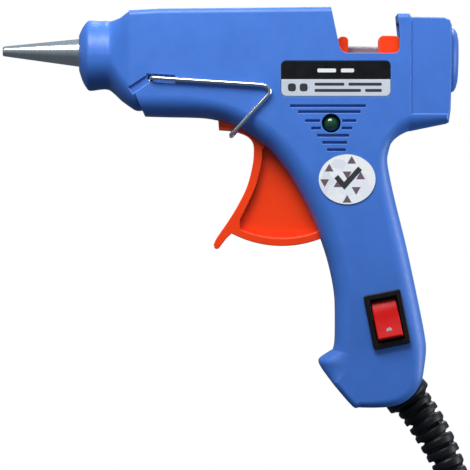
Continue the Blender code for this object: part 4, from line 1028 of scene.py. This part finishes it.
def hank_turn(sides, top, bottom, arc_steps=14):
    """One turn of the hank from the right side's top, down, round and back up over the top.
    sides: (radius, y) on the right and on the left; bottom and top: how both change, as
    functions of the share of the arc that is done."""
    points = []
    (right_radius, right_y), (left_radius, left_y) = sides
    z_top, z_bottom = HANK_TOP - HANK_BEND, HANK_TOP - HANK_RUN - HANK_BEND
    for step in range(6):
        points.append((HANK_CENTRE_X + right_radius, right_y, z_top + (z_bottom - z_top) * step / 6))
    for step in range(arc_steps):
        share = step / arc_steps
        radius, y = bottom(share)
        angle = -pi * share
        points.append((HANK_CENTRE_X + radius * cos(angle), y, z_bottom + radius * sin(angle)))
    for step in range(6):
        points.append((HANK_CENTRE_X - left_radius, left_y, z_bottom + (z_top - z_bottom) * step / 6))
    for step in range(arc_steps):
        share = step / arc_steps
        radius, y = top(share)
        angle = pi * (1 - share)
        points.append((HANK_CENTRE_X + radius * cos(angle), y, z_top + radius * sin(angle)))
    return points


def eased(share, start, end):
    """0 before start, 1 after end, smooth between."""
    t = min(max((share - start) / (end - start), 0.0), 1.0)
    return t * t * (3 - 2 * t)


def moving(first, second, start, end):
    """(radius, y) that changes from first to second while start < share < end."""
    def at(share):
        t = eased(share, start, end)
        return tuple(a + (b - a) * t for a, b in zip(first, second))
    return at


def cord_route():
    """Out of the relief, down to the hank, five turns round it, and down to the plug."""
    outer = HANK_BEND - CORD_RADIUS
    inner = outer - 2 * CORD_RADIUS
    run_x = HANK_CENTRE_X + outer
    lead_in = [tuple(relief_point(0.93)), CORD_EXIT, (28.8, -0.6, -72.5), (29.0, -2.4, -80.5)]
    lead_in += [(run_x + 0.3, -4.8, -90.0), (run_x, -6.7, -99.0)]
    lead_in += [(run_x, -7.5, -108.0), (run_x, -7.5, -121.1)]
    points = [tuple(p) for p in evenly_spaced(lead_in, 3.0)][:-1]
    places = {"a": (outer, -7.5), "b": (inner, -7.5), "c": (inner, -2.5), "d": (outer, -2.5),
              "e": (outer, 2.5), "f": (outer, 7.5)}
    turns = (("a", "a", "b", 0, 1, 0.5, 1.0), ("b", "b", "c", 0, 1, 0.0, 0.5),
             ("c", "d", "d", 0.5, 1.0, 0, 1), ("d", "e", "e", 0.0, 0.5, 0, 1),
             ("e", "f", "f", 0.0, 0.5, 0, 1))
    for right, left, following, b_start, b_end, t_start, t_end in turns:
        points += hank_turn((places[right], places[left]),
                            moving(places[left], places[following], t_start, t_end),
                            moving(places[right], places[left], b_start, b_end))
    z_top = HANK_TOP - HANK_BEND
    for step in range(12):
        points.append((run_x, 7.5, z_top + (CORD_END_Z - z_top) * step / 11))
    return points


def build_strap(materials):
    """A hook-and-loop band round the hank's middle, with its end lying on the near side."""
    middle = HANK_TOP - HANK_BEND - HANK_RUN / 2
    height, thick = 8.0, 1.1
    wide, deep = HANK_BEND + 0.15, HANK_HALF_THICKNESS + 0.15
    upright = Matrix.Rotation(radians(90), 4, "X")
    seat = Matrix.Translation((HANK_CENTRE_X, 0, middle - height / 2)) @ upright
    outer = rounded_box((-wide - thick, 0, -deep - thick), (wide + thick, height, deep + thick), 3.6, 8)
    band = add_object("strap_band", placed(outer, seat), materials["strap"])
    cut(band, placed(rounded_box((-wide, -1, -deep), (wide, height + 1, deep), 2.5, 8), seat))
    soften(band, 0.3, 2, 60.0)
    even_normals(band)
    stands_for(band, "gun", "black_plastic", "cord_tie")
    near, tall = -deep - thick, height / 2 - 0.4
    end = rounded_box((-6.0, near - 0.55, -tall), (15.0, near - 0.02, tall), 2.4, 8)
    end = placed(end, Matrix.Translation((HANK_CENTRE_X, 0, middle)))
    flap = add_object("strap_end", end, materials["strap"])
    soften(flap, 0.15, 2, 60.0)
    even_normals(flap)
    stands_for(flap, "gun", "black_plastic")
    return [band, flap]


def build_plug(materials):
    x, y = HANK_CENTRE_X + HANK_BEND - CORD_RADIUS, 7.5
    sections = ((0.3, 3.1, 3.1), (0.9, 3.5, 3.5), (9.0, 4.3, 4.3), (10.2, 4.9, 4.6), (11.4, 7.0, 5.0),
                (12.6, 9.0, 5.4), (14.5, 10.4, 6.0), (17.0, 11.5, 6.6), (25.0, 12.4, 6.85),
                (32.4, 13.0, 7.0), (33.4, 12.8, 6.85), (33.85, 12.4, 6.5), (PLUG_LENGTH, 11.9, 6.1))
    loops = []
    for depth, half_x, half_y in sections:
        power = 2.0 if depth < 10.0 else 4.0
        loop = []
        for angle in angles(56):
            squash = (abs(cos(angle)) ** power + abs(sin(angle)) ** power) ** (-1 / power)
            wide, deep = half_x * squash * cos(angle), half_y * squash * sin(angle)
            loop.append((x + wide, y + deep, CORD_END_Z - depth))
        loops.append(loop)
    body = add_object("plug_shell", skin_loops(loops), materials["rubber"], 40.0)
    even_normals(body)
    stands_for(body, "gun", "black_rubber", "plug_body")
    pieces = [body]
    top = CORD_END_Z - PLUG_LENGTH - CLEAR
    for letter, shift in (("a", -PIN_SPREAD), ("b", PIN_SPREAD)):
        turn = Matrix.Translation((x + shift, y, top)) @ Matrix.Rotation(radians(90), 4, "Y")
        tip = [(10.0, 0), (10.0, 1.9)]
        tip += [(17.0 + 1.6 * sin(radians(a)), 0.4 + 1.5 * cos(radians(a))) for a in range(0, 91, 15)]
        prong = placed(turned(tip + [(18.6, 0)], 36), turn)
        pin = add_object("plug_prong_" + letter, prong, materials["brass"], 50.0)
        stands_for(pin, "gun", "contact_brass", "plug_pin_" + letter)
        sleeve = [(0, 0), (0, 2.0), (9.5, 2.0), (9.8, 1.9), (9.98, 1.7), (9.98, 0)]
        sleeve = placed(turned(sleeve, 36), turn)
        cover = add_object("plug_sleeve_" + letter, sleeve, materials["black"], 50.0)
        stands_for(cover, "gun", "black_rubber")
        pieces += [pin, cover]
    return pieces


def build_cord(materials):
    relief = build_relief(materials)
    cord = wire("mains_lead", cord_route(), CORD_RADIUS - 0.04, materials["cord"], 6)
    stands_for(cord, "gun", "black_rubber", "power_cord", "cord_hank", "cord_end")
    pieces = [relief] + build_strap(materials) + build_plug(materials)


# ---------------------------------------------------------------- studio

def build_camera():
    data = bpy.data.cameras.new("camera")
    camera = bpy.data.objects.new("camera", data)
    bpy.context.scene.collection.objects.link(camera)
    camera.location = Vector(CAMERA_AT) * MM
    camera.rotation_euler = (pi / 2, 0, 0)
    data.sensor_width = 36.0
    data.lens = data.sensor_width * -CAMERA_AT[1] / VIEW_WIDTH
    data.clip_start, data.clip_end = 0.05, 60.0
    bpy.context.scene.camera = camera


def area_light(name, place, target, size, power, colour=(1, 1, 1)):
    data = bpy.data.lights.new(name, "AREA")
    data.shape = "RECTANGLE"
    data.size, data.size_y = size
    data.energy = power
    data.color = colour
    light = bpy.data.objects.new(name, data)
    bpy.context.scene.collection.objects.link(light)
    light.location = place
    light.rotation_euler = (Vector(target) - Vector(place)).to_track_quat("-Z", "Y").to_euler()
    light.visible_camera = False


def sun_light(name, direction, strength):
    """Broad soft light from one side; direction points from the object to the light."""
    data = bpy.data.lights.new(name, "SUN")
    data.energy = strength
    data.angle = radians(25)
    light = bpy.data.objects.new(name, data)
    bpy.context.scene.collection.objects.link(light)
    light.rotation_euler = Vector(direction).to_track_quat("Z", "Y").to_euler()


def world_light(tree):
    """Even white for the camera; for the object, pale blue light that falls off below it."""
    seen = tree.nodes["Background"]
    seen.inputs["Color"].default_value = (1, 1, 1, 1)
    seen.inputs["Strength"].default_value = 1.0
    direction = add_node(tree, "TexCoord").outputs["Generated"]
    height = add_node(tree, "SeparateXYZ", Vector=direction).outputs["Z"]
    strength = add_node(tree, "MapRange", From_Min=-0.6, From_Max=0.9, To_Min=0.11, To_Max=0.46,
                        Value=height).outputs["Result"]
    lit = add_node(tree, "Background", Color=(0.68, 0.84, 1.0, 1), Strength=strength)
    mix = tree.nodes.new("ShaderNodeMixShader")
    sources = (add_node(tree, "LightPath").outputs["Is Camera Ray"], lit.outputs[0], seen.outputs[0])
    for socket, source in zip(mix.inputs, sources):
        tree.links.new(source, socket)
    tree.links.new(mix.outputs["Shader"], tree.nodes["World Output"].inputs["Surface"])


def build_studio():
    area_light("near_key", (-0.08, -0.18, 0.26), (-0.05, 0.0, 0.05), (0.24, 0.14), 1.05)
    area_light("back_rim", (0.34, -0.05, 0.03), (0.0, 0.0, 0.0), (0.15, 0.3), 0.9)
    sun_light("key", (-0.5, -0.8, 1.1), 0.5)
    sun_light("rim", (0.3, 0.9, 1.0), 1.3)
    world = bpy.data.worlds.new("studio")
    bpy.context.scene.world = world
    world.use_nodes = True
    world_light(world.node_tree)
    glow = (("Emission Color", (1.0, 0.99, 0.97, 1.0)), ("Emission Strength", 0.22))
    pale = surface("pale_floor", (0.84, 0.84, 0.84), 0.8, grain=(900.0, 0.05), drift=0.008,
                   rounding=0.0, settings=glow)
    floor = add_object("floor", rod((0.0, 0.0), 4000.0, -5.0, 0.0, 96), pale)
    floor.matrix_world = Matrix.Translation((0, 0, FLOOR_Z * MM)) @ Matrix.Rotation(radians(90), 4, "X")
    floor.visible_diffuse = False
    floor.visible_glossy = False
    bpy.context.scene.view_settings.view_transform = "Standard"


# ---------------------------------------------------------------- the whole

build_camera()
materials = build_materials()
build_cord(materials)
paint_cad_nodes(materials)
build_housing(materials)
build_feed(materials)
build_trigger(materials)
build_stand(materials)
build_switch(materials)
build_label(materials)
build_sticker(materials)
build_led(materials)
build_screws(materials)
build_studio()
